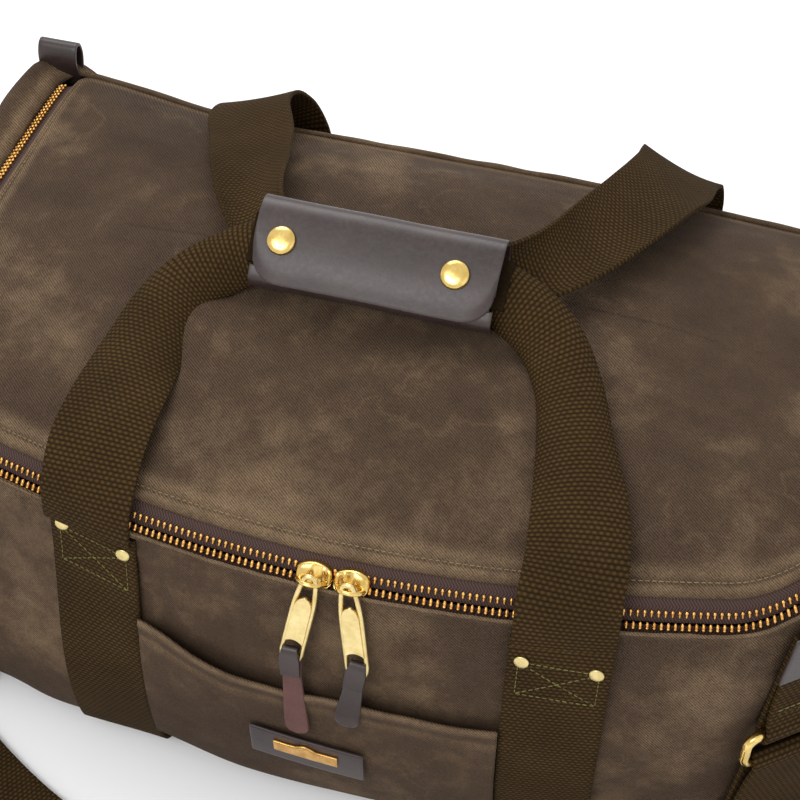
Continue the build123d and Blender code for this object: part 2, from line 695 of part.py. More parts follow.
for side_name, side in (("left", -1), ("right", 1)):
    with BuildPart() as anchor:
        add(webbing_loop(side, RING_TOP_Z))
        bottom = RING_TOP_Z + LOOP + WEBBING / 2
        with BuildSketch(corner_plane(side, 0.3, (bottom + ANCHOR_TOP_Z) / 2)):
            Rectangle(WEBBING_WIDTH - 1, ANCHOR_TOP_Z - bottom)
        extrude(amount=2 * WEBBING)
    save(anchor, f"ring_anchor_{side_name}")

    with BuildPart() as patch:
        with BuildSketch(corner_plane(side, 2 * WEBBING + 0.4, ANCHOR_TOP_Z - 15)):
            RectangleRounded(WEBBING_WIDTH + 6, 32, 5)
        extrude(amount=LEATHER)
    save(patch, f"anchor_patch_{side_name}")

    ring_z = RING_TOP_Z - RING_DROP / 2
    with BuildPart() as ring:
        with BuildSketch(corner_plane(side, RING_OUT - RING_WIRE / 2, ring_z)):
            RectangleRounded(RING_WIDTH + RING_WIRE, RING_DROP + RING_WIRE, 9)
            RectangleRounded(RING_WIDTH - RING_WIRE, RING_DROP - RING_WIRE, 4, mode=Mode.SUBTRACT)
        extrude(amount=RING_WIRE)
        fillet(ring.edges().filter_by(corner_plane(side, 0, 0)), 2.0)
    save(ring, f"ring_{side_name}")

    with BuildPart() as drop:
        add(webbing_loop(side, RING_TOP_Z - RING_DROP))
        top = RING_TOP_Z - RING_DROP - LOOP - WEBBING / 2
        with BuildSketch(corner_plane(side, RING_OUT - WEBBING, (top + FOOT_Z) / 2)):
            Rectangle(WEBBING_WIDTH - 1, top - FOOT_Z)
        extrude(amount=2 * WEBBING)
    save(drop, f"strap_drop_{side_name}")

with BuildPart() as strap_adjuster:
    turn = radians(ADJUSTER_ANGLE)
    place = (RUN_RADIUS * sin(turn), RUN_CENTRE_Y - RUN_RADIUS * cos(turn))
    with BuildSketch(Plane.XY.offset(0.1)):
        with Locations(Location(place, ADJUSTER_ANGLE)):
            RectangleRounded(ADJUSTER_LENGTH, WEBBING_WIDTH + 8, 4)
    extrude(amount=ADJUSTER_HEIGHT)
    with BuildSketch(Plane.XY.offset(RUN_LIFT - 0.4)):
        with Locations(Location(place, ADJUSTER_ANGLE)):
            Rectangle(2 * ADJUSTER_LENGTH, WEBBING_WIDTH + 2.4)
    extrude(amount=2 * WEBBING + 1.2, mode=Mode.SUBTRACT)
save(strap_adjuster, "strap_adjuster")

# ---- inside ----
with BuildPart() as base_board:
    with BuildSketch(Plane.XY.offset(BASE_Z + CANVAS + 0.1)):
        RectangleRounded(520, 236, 80)
    extrude(amount=3)
save(base_board, "base_board")

with BuildPart() as inner_pocket:
    add(layer(-CANVAS - 1.6, -CANVAS - 0.1))
    with BuildSketch(Plane.XZ.offset(-LONG_SIDE_Y)):
        with Locations((0, 110)):
            Rectangle(240, 90)
    extrude(amount=-LONG_SIDE_Y, mode=Mode.INTERSECT)
save(inner_pocket, "inner_pocket")
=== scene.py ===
import math

import bpy
import numpy as np
from mathutils import Matrix, Vector, noise


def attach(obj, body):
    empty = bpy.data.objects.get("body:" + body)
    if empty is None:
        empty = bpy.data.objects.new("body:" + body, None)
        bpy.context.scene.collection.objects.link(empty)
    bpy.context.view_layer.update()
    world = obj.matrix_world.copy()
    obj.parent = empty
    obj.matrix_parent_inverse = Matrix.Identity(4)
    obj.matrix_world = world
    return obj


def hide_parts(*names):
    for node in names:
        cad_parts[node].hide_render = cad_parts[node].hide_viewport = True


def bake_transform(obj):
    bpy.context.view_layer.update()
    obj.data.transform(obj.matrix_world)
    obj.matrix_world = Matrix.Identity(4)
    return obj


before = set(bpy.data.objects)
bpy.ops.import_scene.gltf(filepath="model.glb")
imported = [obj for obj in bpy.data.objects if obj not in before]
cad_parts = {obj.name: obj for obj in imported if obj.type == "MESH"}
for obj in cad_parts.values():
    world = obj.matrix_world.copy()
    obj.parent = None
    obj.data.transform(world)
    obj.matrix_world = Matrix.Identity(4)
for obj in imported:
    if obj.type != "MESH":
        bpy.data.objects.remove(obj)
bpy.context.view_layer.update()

# Sizes and places below are millimetres in the frame's axes; meshes are scaled to metres.
MM = 0.001
BOW_Y = 572.0  # the front wall and its zip line are arcs about this point in plan
ZIP_Y = -169.0
ZIP_Z = 201.0
ZIP_HALF = 259.0
ZIP_CORNER = 85.0
BACK_CORNER = 14.0
SEAM_Y = 150.0
BOW = BOW_Y - ZIP_Y
SHOULDER_Y = -122.92
SHOULDER_Z = 172.69
SHOULDER_R = 54.08
ZIP_TILT = 58.4
CANVAS = 2.0
WEBBING = 2.4
WEBBING_WIDTH = 50.0
BAND_X = 124.0
BAND_MIDDLES = {-1: -118.5, 1: 124.0}  # the left band sits a little nearer the middle
TOOTH_PITCH = 3.3
SIDES = ((-1, "left"), (1, "right"))


# ---- numbers and paths ----
def step(a, b, value):
    """Smooth step from 0 at a to 1 at b."""
    t = np.clip((np.asarray(value, float) - a) / (b - a), 0, 1)
    return t * t * (3 - 2 * t)


def spline(points, t):
    """Catmull-Rom curve through points, with t from 0 to 1 over its whole length."""
    p = np.asarray(points, float)
    if p.ndim == 1:
        p = p[:, None]
    t = np.atleast_1d(np.asarray(t, float)) * (len(p) - 1)
    i = np.clip(t.astype(int), 0, len(p) - 2)
    f = (t - i)[:, None]
    before = np.where((i > 0)[:, None], p[np.maximum(i - 1, 0)], 2 * p[0] - p[1])
    last = len(p) - 1
    after = np.where((i + 2 <= last)[:, None], p[np.minimum(i + 2, last)], 2 * p[last] - p[last - 1])
    a, b = p[i], p[i + 1]
    return 0.5 * (
        2 * a + (b - before) * f + (2 * before - 5 * a + 4 * b - after) * f**2
        + (3 * a - before - 3 * b + after) * f**3
    )


def lengths(points):
    """Distance run along a polyline at each of its points."""
    gaps = np.linalg.norm(np.diff(points, axis=0), axis=1)
    return np.concatenate([[0], np.cumsum(gaps)])


def along(points, places):
    """Points at given distances along a polyline."""
    run = lengths(points)
    return np.stack([np.interp(places, run, points[:, k]) for k in range(points.shape[1])], axis=1)


def unit(v):
    v = np.asarray(v, float)
    return v / np.maximum(np.linalg.norm(v, axis=-1, keepdims=True), 1e-9)


def hump(value, middle, width):
    """A bell curve, 1 at its middle."""
    return np.exp(-(((value - middle) / width) ** 2))


def flat_grid(across, run):
    """Flat coordinates of a strap's grid of points: across it, and along it."""
    return np.stack(np.broadcast_arrays(across[:, None], run[None, :]), axis=2)


def wobble(points, size, amount, seed=0.0):
    """Smooth random value for each point, for sags and puckers."""
    flat = points.reshape(-1, 3)
    values = [noise.noise(Vector((x / size + seed, y / size, z / size - seed))) for x, y, z in flat]
    return amount * np.array(values).reshape(points.shape[:-1])


# ---- the bag's form ----
def top_height(x, y):
    """Height of the bag's top surface, lid and shoulders together."""
    x = np.asarray(x, float)
    y = np.asarray(y, float)
    lift = 15 * step(140, 270, -x) * step(-40, 150, y) - 7 * step(60, 230, x) * step(0, 150, y)
    long_arc = -81.69 + np.sqrt(332.1**2 - (y + 6.97) ** 2) + lift
    cross_arc = 253 - x**2 / 2329 - 0.0125 * np.maximum(0, np.abs(x) - 240) ** 2 + 0.4 * lift
    bowed_y = BOW_Y - np.hypot(x, y - BOW_Y)
    drop = np.sqrt(np.maximum(SHOULDER_R**2 - (np.minimum(bowed_y, -132) - SHOULDER_Y) ** 2, 0))
    front_arc = SHOULDER_Z + drop + 0.43 * np.maximum(bowed_y + 132, 0)
    soft = 5.0
    total = sum(np.exp(-(z - 200) / soft) for z in (long_arc, cross_arc, front_arc))
    return 200 - soft * np.log(total) + 1.4


def top_points(plan, lift=0.0):
    """Points on the top surface over plan points, or a little off it."""
    height = top_height(plan[..., 0], plan[..., 1]) + lift
    return np.concatenate([plan, height[..., None]], axis=-1)


def arc(x, y, radius, first, last, count):
    """Places on an arc in plan, each with its turn from the front; its end is left to what follows."""
    turn = np.linspace(first, last, count)[:-1]
    return np.stack([x + radius * np.sin(turn), y - radius * np.cos(turn), turn], axis=1)


def straight(first, last, turn, count):
    """Places on a straight stretch in plan, each with its turn; its end is left to what follows."""
    places = np.linspace((*first, turn), (*last, turn), count)
    return places[:-1]


def zip_ring():
    """The zip line in plan, closed along the back seam: places, outward normals and turn from the front."""
    corner_x = ZIP_HALF - ZIP_CORNER
    corner_y = BOW_Y - math.sqrt((BOW - ZIP_CORNER) ** 2 - corner_x**2)
    bend = math.asin(corner_x / (BOW - ZIP_CORNER))
    back_x = ZIP_HALF - BACK_CORNER
    back_y = SEAM_Y - BACK_CORNER
    bow = arc(0, BOW_Y, BOW, -bend, bend, 161)
    right = np.concatenate([
        arc(corner_x, corner_y, ZIP_CORNER, bend, math.pi / 2, 46),
        straight((ZIP_HALF, corner_y), (ZIP_HALF, back_y), math.pi / 2, 70),
        arc(back_x, back_y, BACK_CORNER, math.pi / 2, math.pi, 12),
    ])
    seam = straight((back_x, SEAM_Y), (-back_x, SEAM_Y), math.pi, 161)
    left = right[::-1] * (-1, 1, -1)
    ring = np.concatenate([bow, right, seam, left])
    turn = ring[:, 2]
    normal = np.stack([np.sin(turn), -np.cos(turn)], axis=1)
    return ring[:, :2], normal, np.abs(np.degrees(turn))


RING, RING_NORMAL, RING_TURN = zip_ring()

# distance out from the zip line, and height, down each side of the bag
PROFILES = {
    "front": ((0, 201), (3.6, 194), (6.3, 186), (7.8, 177), (9.3, 160), (11, 130),
              (11, 100), (8, 60), (1, 25), (-7, 9), (-21, WEBBING)),
    "corner": ((0, 204), (3.5, 197), (5.5, 188), (6, 178), (6.5, 160), (7, 130),
               (7, 100), (6, 60), (3, 25), (-3, 9), (-17, WEBBING)),
    "side": ((0, 219), (10, 214), (20, 205), (28, 192), (36, 165), (42, 130),
             (43, 100), (41.5, 60), (38, 25), (30, 9), (17, WEBBING)),
    "back": ((0, 211), (3, 203), (6, 194), (8.5, 183), (11.5, 160), (13.7, 130),
             (14, 100), (12.5, 60), (10.5, 25), (5, 9), (-8, WEBBING)),
}


def profile_weights(turn):
    """How much each profile counts where the zip line has turned this far from the front."""
    to_corner = step(12, 45, turn)
    to_side = step(45, 86, turn)
    to_back = step(94, 176, turn)
    return {
        "front": 1 - to_corner,
        "corner": to_corner - to_side,
        "side": to_side - to_back,
        "back": to_back,
    }


def slack(x, depth):
    """How far the front wall stands off its profile toward the bag's left: in at the top, out at the foot."""
    top = -8.0 * step(20, 135, -x) * step(0.02, 0.22, depth) * (1 - step(0.35, 0.7, depth))
    return top + 10.0 * step(85, 185, -x) * step(0.5, 0.85, depth)


def wall(place, normal, turn, depth):
    """Points down the bag's wall; depth is 0 at the zip line and 1 under the base."""
    depth = np.atleast_1d(depth)
    weights = profile_weights(turn)
    out = np.zeros((len(place), len(depth)))
    height = np.zeros_like(out)
    for name, points in PROFILES.items():
        curve = spline(points, depth)
        out += weights[name][:, None] * curve[None, :, 0]
        height += weights[name][:, None] * curve[None, :, 1]
    start = sum(weights[name] * points[0][1] for name, points in PROFILES.items())
    rim = (top_height(place[:, 0], place[:, 1]) - start)[:, None]
    height = height + rim * (1 - step(0, 0.35, depth))[None, :]
    out = out + slack(place[:, :1], depth[None, :]) * (weights["front"] + weights["corner"])[:, None]
    left_end = step(225, 257, -place[:, :1]) * step(-10, 110, place[:, 1:])
    swell = left_end * (weights["side"] + weights["back"])[:, None] * hump(depth, 0.17, 0.11)[None, :]
    height = height + 22 * swell
    out = out + 5 * swell
    flat = place[:, None, :] + normal[:, None, :] * out[:, :, None]
    return np.concatenate([flat, height[:, :, None]], axis=2)


def off_profile(name, depth, lift):
    """Distance out and height down a wall's profile, lifted off its surface."""
    points = PROFILES[name]
    curve = spline(points, depth)
    run = unit(spline(points, np.clip(depth + 0.01, 0, 1)) - spline(points, np.clip(depth - 0.01, 0, 1)))
    return curve[:, 0] - run[:, 1] * lift, curve[:, 1] + run[:, 0] * lift


def front_wall(x, depth, lift=0.0):
    """Points on the front wall at a list of x, lifted off its surface."""
    x = np.atleast_1d(np.asarray(x, float))[:, None]
    depth = np.atleast_1d(np.asarray(depth, float))
    out, height = off_profile("front", depth, lift)
    radius = BOW + out[None, :] + slack(x, depth[None, :])
    y = BOW_Y - radius * np.cos(np.arcsin(x / radius))
    return np.stack(np.broadcast_arrays(x, y, height), axis=2)


def back_wall(x, depth, lift=0.0):
    """Points on the back wall at a list of x, lifted off its surface."""
    out, height = off_profile("back", depth, lift)
    return np.stack(np.broadcast_arrays(np.atleast_1d(x)[:, None], SEAM_Y + out, height), axis=2)


def depth_at(z):
    """Depth down the front profile at a height."""
    t = np.linspace(0, 1, 400)
    heights = spline(PROFILES["front"], t)[:, 1]
    return np.interp(-np.asarray(z, float), -heights, t)


def on_front(x, z, lift):
    """One point on the front wall, at a place and height."""
    return front_wall(x, depth_at(z), lift)[0, 0]


# ---- materials ----
def rgb(r, g, b):
    """Linear colour of an 8-bit sRGB one."""
    return tuple(((c / 255 + 0.055) / 1.055) ** 2.4 if c > 10 else c / 3294.6 for c in (r, g, b)) + (1.0,)


class Shader:
    """A material with short calls for its nodes."""

    def __init__(self, name, **sockets):
        self.material = bpy.data.materials.new(name)
        self.material.use_nodes = True
        self.tree = self.material.node_tree
        self.bsdf = self.tree.nodes["Principled BSDF"]
        for socket, value in sockets.items():
            self.bsdf.inputs[socket.replace("_", " ")].default_value = value

    def node(self, kind, inputs=None, **settings):
        made = self.tree.nodes.new(kind)
        for key, value in settings.items():
            setattr(made, key, value)
        for key, value in (inputs or {}).items():
            if hasattr(value, "is_output"):
                self.tree.links.new(value, made.inputs[key])
            else:
                made.inputs[key].default_value = value
        return made

    def math(self, operation, a, b=0.0, c=0.0):
        return self.node("ShaderNodeMath", {0: a, 1: b, 2: c}, operation=operation).outputs[0]

    def times(self, a, b):
        return self.math("MULTIPLY", a, b)

    def share(self, a, b, part):
        """The two mixed as numbers, with this part of the first."""
        return self.math("ADD", self.times(a, part), self.times(b, 1 - part))

    def wave(self, value, pitch, shift=0.0):
        """A sine along a flat coordinate in millimetres, from 0 to 1."""
        angle = self.math("MULTIPLY_ADD", value, 2 * math.pi / pitch, shift)
        return self.math("MULTIPLY_ADD", self.math("SINE", angle), 0.5, 0.5)

    def spot(self):
        return self.node("ShaderNodeTexCoord").outputs["Object"]

    def flat(self):
        made = self.node("ShaderNodeAttribute", attribute_name="flat")
        return self.node("ShaderNodeSeparateXYZ", {0: made.outputs["Vector"]}).outputs

    def value(self, name):
        return self.node("ShaderNodeAttribute", attribute_name=name).outputs["Fac"]

    def noise(self, scale, detail=3.0, rough=0.55, vector=None):
        inputs = {"Vector": vector or self.spot(), "Scale": scale, "Detail": detail, "Roughness": rough}
        return self.node("ShaderNodeTexNoise", inputs).outputs["Fac"]

    def ramp(self, factor, *stops):
        made = self.node("ShaderNodeValToRGB", {0: factor})
        elements = made.color_ramp.elements
        while len(elements) < len(stops):
            elements.new(0.5)
        for element, (place, colour) in zip(elements, stops):
            element.position = place
            element.color = colour if hasattr(colour, "__len__") else (colour, colour, colour, 1)
        return made.outputs["Color"]

    def mix(self, factor, a, b, blend="MIX"):
        inputs = {0: factor, 6: a, 7: b}
        made = self.node("ShaderNodeMix", inputs, data_type="RGBA", blend_type=blend)
        return made.outputs[2]

    def bump(self, height, strength, distance, under=None):
        inputs = {"Height": height, "Strength": strength, "Distance": distance}
        if under is not None:
            inputs["Normal"] = under
        return self.node("ShaderNodeBump", inputs).outputs["Normal"]

    def plug(self, **links):
        for socket, output in links.items():
            self.tree.links.new(output, self.bsdf.inputs[socket.replace("_", " ")])
        return self.material


def canvas_material(name, dark, mid, light):
    s = Shader(name, Roughness=0.82, Specular_IOR_Level=0.12)
    fine = s.noise(55.0, 4.0, 0.65)
    colour = s.ramp(s.share(s.noise(9.0, 5.0, 0.6), fine, 0.7), (0.3, dark), (0.52, mid), (0.8, light))
    crease = s.math("ABSOLUTE", s.math("SUBTRACT", s.noise(17.0, 6.0, 0.5), 0.5))
    crease = s.ramp(crease, (0.0, 1.0), (0.018, 0.0))
    patch = s.ramp(s.noise(14.0, 2.0), (0.5, 0.0), (0.62, 1.0))
    crease = s.times(s.times(crease, patch), 0.14)
    rubbed = s.times(s.value("wear"), s.ramp(s.noise(70.0, 4.0, 0.7), (0.3, 0.35), (0.7, 1.0)))
    pale = s.math("MINIMUM", s.math("ADD", crease, s.times(rubbed, 0.75)), 0.8)
    colour = s.mix(pale, colour, light)
    weave = s.noise(900.0, 2.0, 0.5)
    twill = {"Vector": s.spot(), "Scale": 330.0, "Distortion": 2.0, "Detail": 1.0}
    threads = s.node("ShaderNodeTexWave", twill, bands_direction="DIAGONAL").outputs["Fac"]
    grain = s.share(weave, threads, 0.6)
    colour = s.mix(1.0, colour, s.ramp(grain, (0.25, 0.5), (0.75, 1.42)), "MULTIPLY")
    normal = s.bump(threads, 0.5, 0.0006)
    normal = s.bump(weave, 0.35, 0.0006, normal)
    normal = s.bump(fine, 0.25, 0.002, normal)
    return s.plug(Base_Color=colour, Normal=normal)


def webbing_material(name, dark, mid, light, row=2.4, knot=3.1):
    """Rows of knots across the strap, each row half a knot off the one before."""
    s = Shader(name, Roughness=0.9, Specular_IOR_Level=0.08)
    u, v = s.flat()[0], s.flat()[1]
    shift = s.times(s.math("FLOOR", s.math("DIVIDE", v, row)), math.pi)
    rows = s.math("ABSOLUTE", s.math("SINE", s.times(v, math.pi / row)))
    knots = s.wave(u, knot, shift)
    relief = s.times(rows, s.math("MULTIPLY_ADD", knots, 0.6, 0.4))
    fuzz = s.noise(700.0, 3.0, 0.6)
    colour = s.ramp(s.share(relief, fuzz, 0.6), (0.12, dark), (0.4, mid), (0.75, light))
    colour = s.mix(1.0, colour, s.ramp(s.noise(25.0, 3.0), (0.3, 0.82), (0.7, 1.15)), "MULTIPLY")
    normal = s.bump(relief, 0.6, 0.0009)
    normal = s.bump(fuzz, 0.3, 0.0005, normal)
    return s.plug(Base_Color=colour, Normal=normal)


def leather_material(name, dark, light, rough=0.42, nap=False):
    s = Shader(name, Roughness=rough)
    grain = s.noise(420.0, 4.0, 0.6)
    cloud = s.noise(30.0, 3.0)
    colour = s.ramp(s.share(cloud, grain, 0.6), (0.3, dark), (0.72, light))
    gloss = s.math("MULTIPLY_ADD", grain, 0.25, rough - 0.12)
    normal = s.bump(grain, 0.5 if nap else 0.16, 0.0008 if nap else 0.0004)
    normal = s.bump(cloud, 0.2, 0.002, normal)
    return s.plug(Base_Color=colour, Roughness=gloss, Normal=normal)


def brass_material(name, dark, light, rough=0.24):
    s = Shader(name, Metallic=1.0, Roughness=rough)
    cloud = s.noise(160.0, 4.0, 0.6)
    colour = s.ramp(cloud, (0.3, dark), (0.7, light))
    gloss = s.math("MULTIPLY_ADD", s.noise(300.0, 3.0), 0.25, rough - 0.1)
    normal = s.bump(cloud, 0.08, 0.0005)
    return s.plug(Base_Color=colour, Roughness=gloss, Normal=normal)


def tape_material():
    s = Shader("zipper_tape", Roughness=0.85)
    u, v = s.flat()[0], s.flat()[1]
    side = s.math("PINGPONG", u, 2.4)
    rib = s.wave(s.math("ADD", v, side), 1.6)
    colour = s.ramp(rib, (0.1, rgb(40, 25, 21)), (0.9, rgb(74, 50, 43)))
    return s.plug(Base_Color=colour, Normal=s.bump(rib, 0.5, 0.0006))


def plain_material(name, dark, light, scale=300.0, rough=0.85):
    s = Shader(name, Roughness=rough)
    field = s.noise(scale, 3.0)
    return s.plug(Base_Color=s.ramp(field, (0.3, dark), (0.7, light)), Normal=s.bump(field, 0.3, 0.0006))


CANVAS_LOOK = canvas_material("waxed_canvas", rgb(52, 40, 31), rgb(71, 56, 43), rgb(124, 103, 79))
WEBBING_LOOK = webbing_material("olive_webbing", rgb(24, 16, 6), rgb(43, 31, 14), rgb(72, 54, 29))
LEATHER_LOOK = leather_material("oiled_leather", rgb(34, 24, 23), rgb(62, 48, 46), 0.38)
SUEDE_LOOK = leather_material("suede_side", rgb(66, 40, 37), rgb(102, 66, 60), 0.85, nap=True)
BRASS_LOOK = brass_material("cast_brass", rgb(206, 170, 90), rgb(240, 210, 134), 0.2)
PULL_LOOK = brass_material("satin_brass", rgb(206, 182, 120), rgb(232, 212, 156), 0.32)
TEETH_LOOK = brass_material("gold_teeth", rgb(196, 142, 70), rgb(240, 190, 112), 0.26)
PALE_BRASS_LOOK = brass_material("pale_brass", rgb(190, 170, 110), rgb(226, 208, 150), 0.34)
TAPE_LOOK = tape_material()
THREAD_LOOK = plain_material("olive_thread", rgb(80, 78, 36), rgb(120, 116, 58))
LID_THREAD_LOOK = plain_material("brown_thread", rgb(96, 80, 56), rgb(134, 114, 82))
LINING_LOOK = plain_material("plain_lining", rgb(66, 58, 46), rgb(88, 78, 62), 500.0)
BOARD_LOOK = plain_material("stiff_board", rgb(26, 26, 27), rgb(40, 40, 42), 200.0, 0.6)
FLOOR_LOOK = plain_material("paper_floor", rgb(246, 246, 247), rgb(249, 249, 250), 3.0)


# ---- mesh building ----
def add(name, data):
    """A new object in the scene."""
    made = bpy.data.objects.new(name, data)
    bpy.context.scene.collection.objects.link(made)
    return made


def build(name, points, faces, look, body, flat=None, wear=None):
    """A mesh piece from points in millimetres, riding on a body (or on none, for a blend)."""
    mesh = bpy.data.meshes.new(name)
    mesh.from_pydata((np.asarray(points, float) * MM).tolist(), [], faces)
    mesh.materials.append(look)
    if flat is not None:
        data = np.zeros((len(points), 3), np.float32)
        data[:, :2] = np.asarray(flat, float)
        mesh.attributes.new("flat", "FLOAT_VECTOR", "POINT").data.foreach_set("vector", data.ravel())
    if look == CANVAS_LOOK:
        field = np.zeros(len(points)) if wear is None else np.asarray(wear, float)
        mesh.attributes.new("wear", "FLOAT", "POINT").data.foreach_set("value", field.astype(np.float32))
    mesh.polygons.foreach_set("use_smooth", [True] * len(mesh.polygons))
    mesh.update()
    piece = add(name, mesh)
    if body is not None:
        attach(piece, body)
    return piece


def grid_faces(rows, columns, closed=False, flip=False):
    faces = []
    for i in range(rows if closed else rows - 1):
        for j in range(columns - 1):
            a = i * columns + j
            b = ((i + 1) % rows) * columns + j
            faces.append((a, b, b + 1, a + 1) if not flip else (a, a + 1, b + 1, b))
    return faces


def thicken(piece, thick, offset=-1.0):
    solid = piece.modifiers.new("thickness", "SOLIDIFY")
    solid.thickness = thick * MM
    solid.offset = offset


def skin(name, points, look, body, node=None, flat=None, wear=None, thick=0.0, edges=0.0, closed=False,
         flip=False, offset=-1.0):
    """A piece from a grid of points, with a thickness and rounded edges, in place of a CAD node."""
    faces = grid_faces(*points.shape[:2], closed, flip)
    cells = None if flat is None else flat.reshape(-1, 2)
    field = None if wear is None else wear.ravel()
    piece = build(name, points.reshape(-1, 3), faces, look, body, cells, field)
    if thick:
        thicken(piece, thick, offset)
    if edges:
        round_edges(piece, edges)
    if node:
        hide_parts(node)
    return piece


def round_edges(piece, width, segments=2, angle=60.0):
    bevel = piece.modifiers.new("edges", "BEVEL")
    bevel.width = width * MM
    bevel.segments = segments
    bevel.limit_method = "ANGLE"
    bevel.angle_limit = math.radians(angle)
    return piece


def frames(path, across):
    """Tangent, across and normal vectors along a path."""
    run = unit(np.gradient(path, axis=0))
    side = unit(across - (across * run).sum(1, keepdims=True) * run)
    return run, side, np.cross(side, run)


def ribbon(name, path, across, fold, look, body, width=WEBBING_WIDTH, samples=70, widths=17):
    """A strap along a smooth path; fold is 0 flat and 1 doubled lengthwise, edges away from its normal."""
    t = np.linspace(0, 1, samples)
    centre = spline(path, t)
    folding = np.clip(spline(fold, t)[:, 0], 0.001, 1)
    _, side, up = frames(centre, spline(across, t))
    c = np.linspace(-width / 2, width / 2, widths)
    radius = width / (folding * math.pi)
    angle = c[:, None] / radius[None, :]
    shift = radius * np.sin(angle)
    depth = radius * (1 - np.cos(angle)) * (1 - 0.55 * folding)
    points = centre[None] + side[None] * shift[..., None] - up[None] * depth[..., None]
    flat = flat_grid(c, lengths(centre))
    return skin(name, points, look, body, None, flat, thick=WEBBING, edges=0.5, flip=True, offset=0.0)


def capsules(name, places, directions, ups, size, look, body):
    """Many small rounded bars in one mesh: stitches and zipper teeth. size is length, width, height."""
    ring = 8
    stations = ((-0.5, 0.35), (-0.42, 0.8), (-0.2, 1.0), (0.2, 1.0), (0.42, 0.8), (0.5, 0.35))
    points, faces = [], []
    for place, direction, up in zip(places, directions, ups):
        run = unit(direction)
        side = unit(np.cross(up, run))
        top = np.cross(run, side)
        first = len(points)
        for shift, scale in stations:
            for k in range(ring):
                a = 2 * math.pi * k / ring
                points.append(
                    place + run * shift * size[0] + side * math.cos(a) * scale * size[1] / 2
                    + top * (math.sin(a) * scale * 0.5) * size[2]
                )
        for i in range(len(stations) - 1):
            for k in range(ring):
                a = first + i * ring + k
                b = first + i * ring + (k + 1) % ring
                faces.append((a, a + ring, b + ring, b))
        faces.append(tuple(range(first, first + ring)))
        faces.append(tuple(range(first + 6 * ring - 1, first + 5 * ring - 1, -1)))
    return build(name, points, faces, look, body)


def stitches(name, path, ups, look, body, length=2.6, width=0.7, gap=0.9, lift=0.2):
    """A row of stitches lying on a surface along a path."""
    total = lengths(path)[-1]
    count = max(2, int(total / (length + gap)))
    centres = (np.arange(count) + 0.5) * total / count
    places = along(path, centres)
    runs = along(path, np.minimum(centres + 0.6, total)) - along(path, np.maximum(centres - 0.6, 0))
    lifts = unit(along(np.concatenate([path, ups], axis=1), centres)[:, 3:])
    return capsules(name, places + lifts * lift, runs, lifts, (length, width, 0.7), look, body)


def disc(name, place, normal, radius, height, dome, look, body):
    """A round head: a short cylinder with a rounded or domed top."""
    normal = unit(normal)
    side = unit(np.cross(normal, (0.3, 0.9, 0.1)))
    other = np.cross(normal, side)
    rings = [(1.0, 0.0), (1.0, 0.45), (0.96, 0.72), (0.86, 0.9)]
    rings += [(r, 0.9 + dome * (1 - r * r)) for r in (0.6, 0.3)]
    points, faces = [], []
    count = 28
    for r, h in rings:
        for k in range(count):
            a = 2 * math.pi * k / count
            around = side * math.cos(a) + other * math.sin(a)
            points.append(place + around * r * radius + normal * h * height)
    for i in range(len(rings) - 1):
        for k in range(count):
            a, b = i * count + k, i * count + (k + 1) % count
            faces.append((a, b, b + count, a + count))
    points.append(place + normal * (0.9 + dome) * height)
    last = (len(rings) - 1) * count
    faces += [(last + k, last + (k + 1) % count, len(points) - 1) for k in range(count)]
    faces.append(tuple(range(count - 1, -1, -1)))
    return build(name, points, faces, look, body)


# ---- canvas body and lid ----
def make_body():
    depth = np.concatenate([[0.0, 0.012], np.linspace(0.03, 1, 78)])
    points = wall(RING, RING_NORMAL, RING_TURN, depth)
    out = 3.7 * (1 - step(0, 0.17, depth)) + 1.2 * hump(depth, 0.05, 0.03)
    sag = wobble(points, 75, 5.0) + wobble(points, 28, 1.6, 4.0)
    sag = sag * (step(0.05, 0.3, depth) * (1 - step(0.8, 0.98, depth)))[None, :]
    sag = np.where(RING_TURN[:, None] > 120, np.maximum(sag, -0.8), sag)
    hold = 1 - 0.75 * np.exp(-(((np.abs(points[..., 0]) - BAND_X) / 26) ** 4))
    ripple = wobble(points * np.array([1, 1, 0.2]), 9, 1.0, 9.0) * np.exp(-depth / 0.08)[None, :]
    open_rim = (1 - step(100, 150, RING_TURN))[:, None]
    push = out[None, :] * open_rim + sag * hold + ripple
    points[..., :2] += RING_NORMAL[:, None, :] * push[..., None]
    points[..., 2] += (-4.5 * (1 - step(0, 0.025, depth)) - 0.4)[None, :] * open_rim
    rows, columns = points.shape[:2]
    faces = grid_faces(rows, columns, closed=True, flip=True)
    flat_points = points.reshape(-1, 3)
    wear = np.tile(hump(depth, 0.05, 0.035), (rows, 1))
    inner = points[:, -1] * np.array([0.6, 0.5, 1])
    core = points[:, -1] * np.array([0.2, 0.05, 1])
    base = len(flat_points)
    flat_points = np.concatenate([flat_points, inner, core])
    for k in range(rows):
        n = (k + 1) % rows
        faces.append((k * columns + columns - 1, base + k, base + n, n * columns + columns - 1))
        faces.append((base + k, base + rows + k, base + rows + n, base + n))
    faces.append(tuple(base + rows + k for k in reversed(range(rows))))
    wear = np.concatenate([wear.ravel(), np.zeros(2 * rows)])
    piece = build("canvas_body", flat_points, faces, CANVAS_LOOK, "root", wear=wear)
    thicken(piece, CANVAS)
    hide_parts("base_panel", "front_panel", "back_panel", "end_panel_left", "end_panel_right")


LID_EDGE = 7.4


def lid_place(inset):
    """The lid's plan outline, inset from the zip line but not from the back seam."""
    toward_back = step(100, 178, RING_TURN)
    cut = inset * (1 - toward_back) + 0.6 * toward_back
    return RING - RING_NORMAL * cut[:, None]


def lid_dents(points):
    return wobble(points, 90, 4.5, 2.0) + wobble(points, 34, 1.5, 7.0)


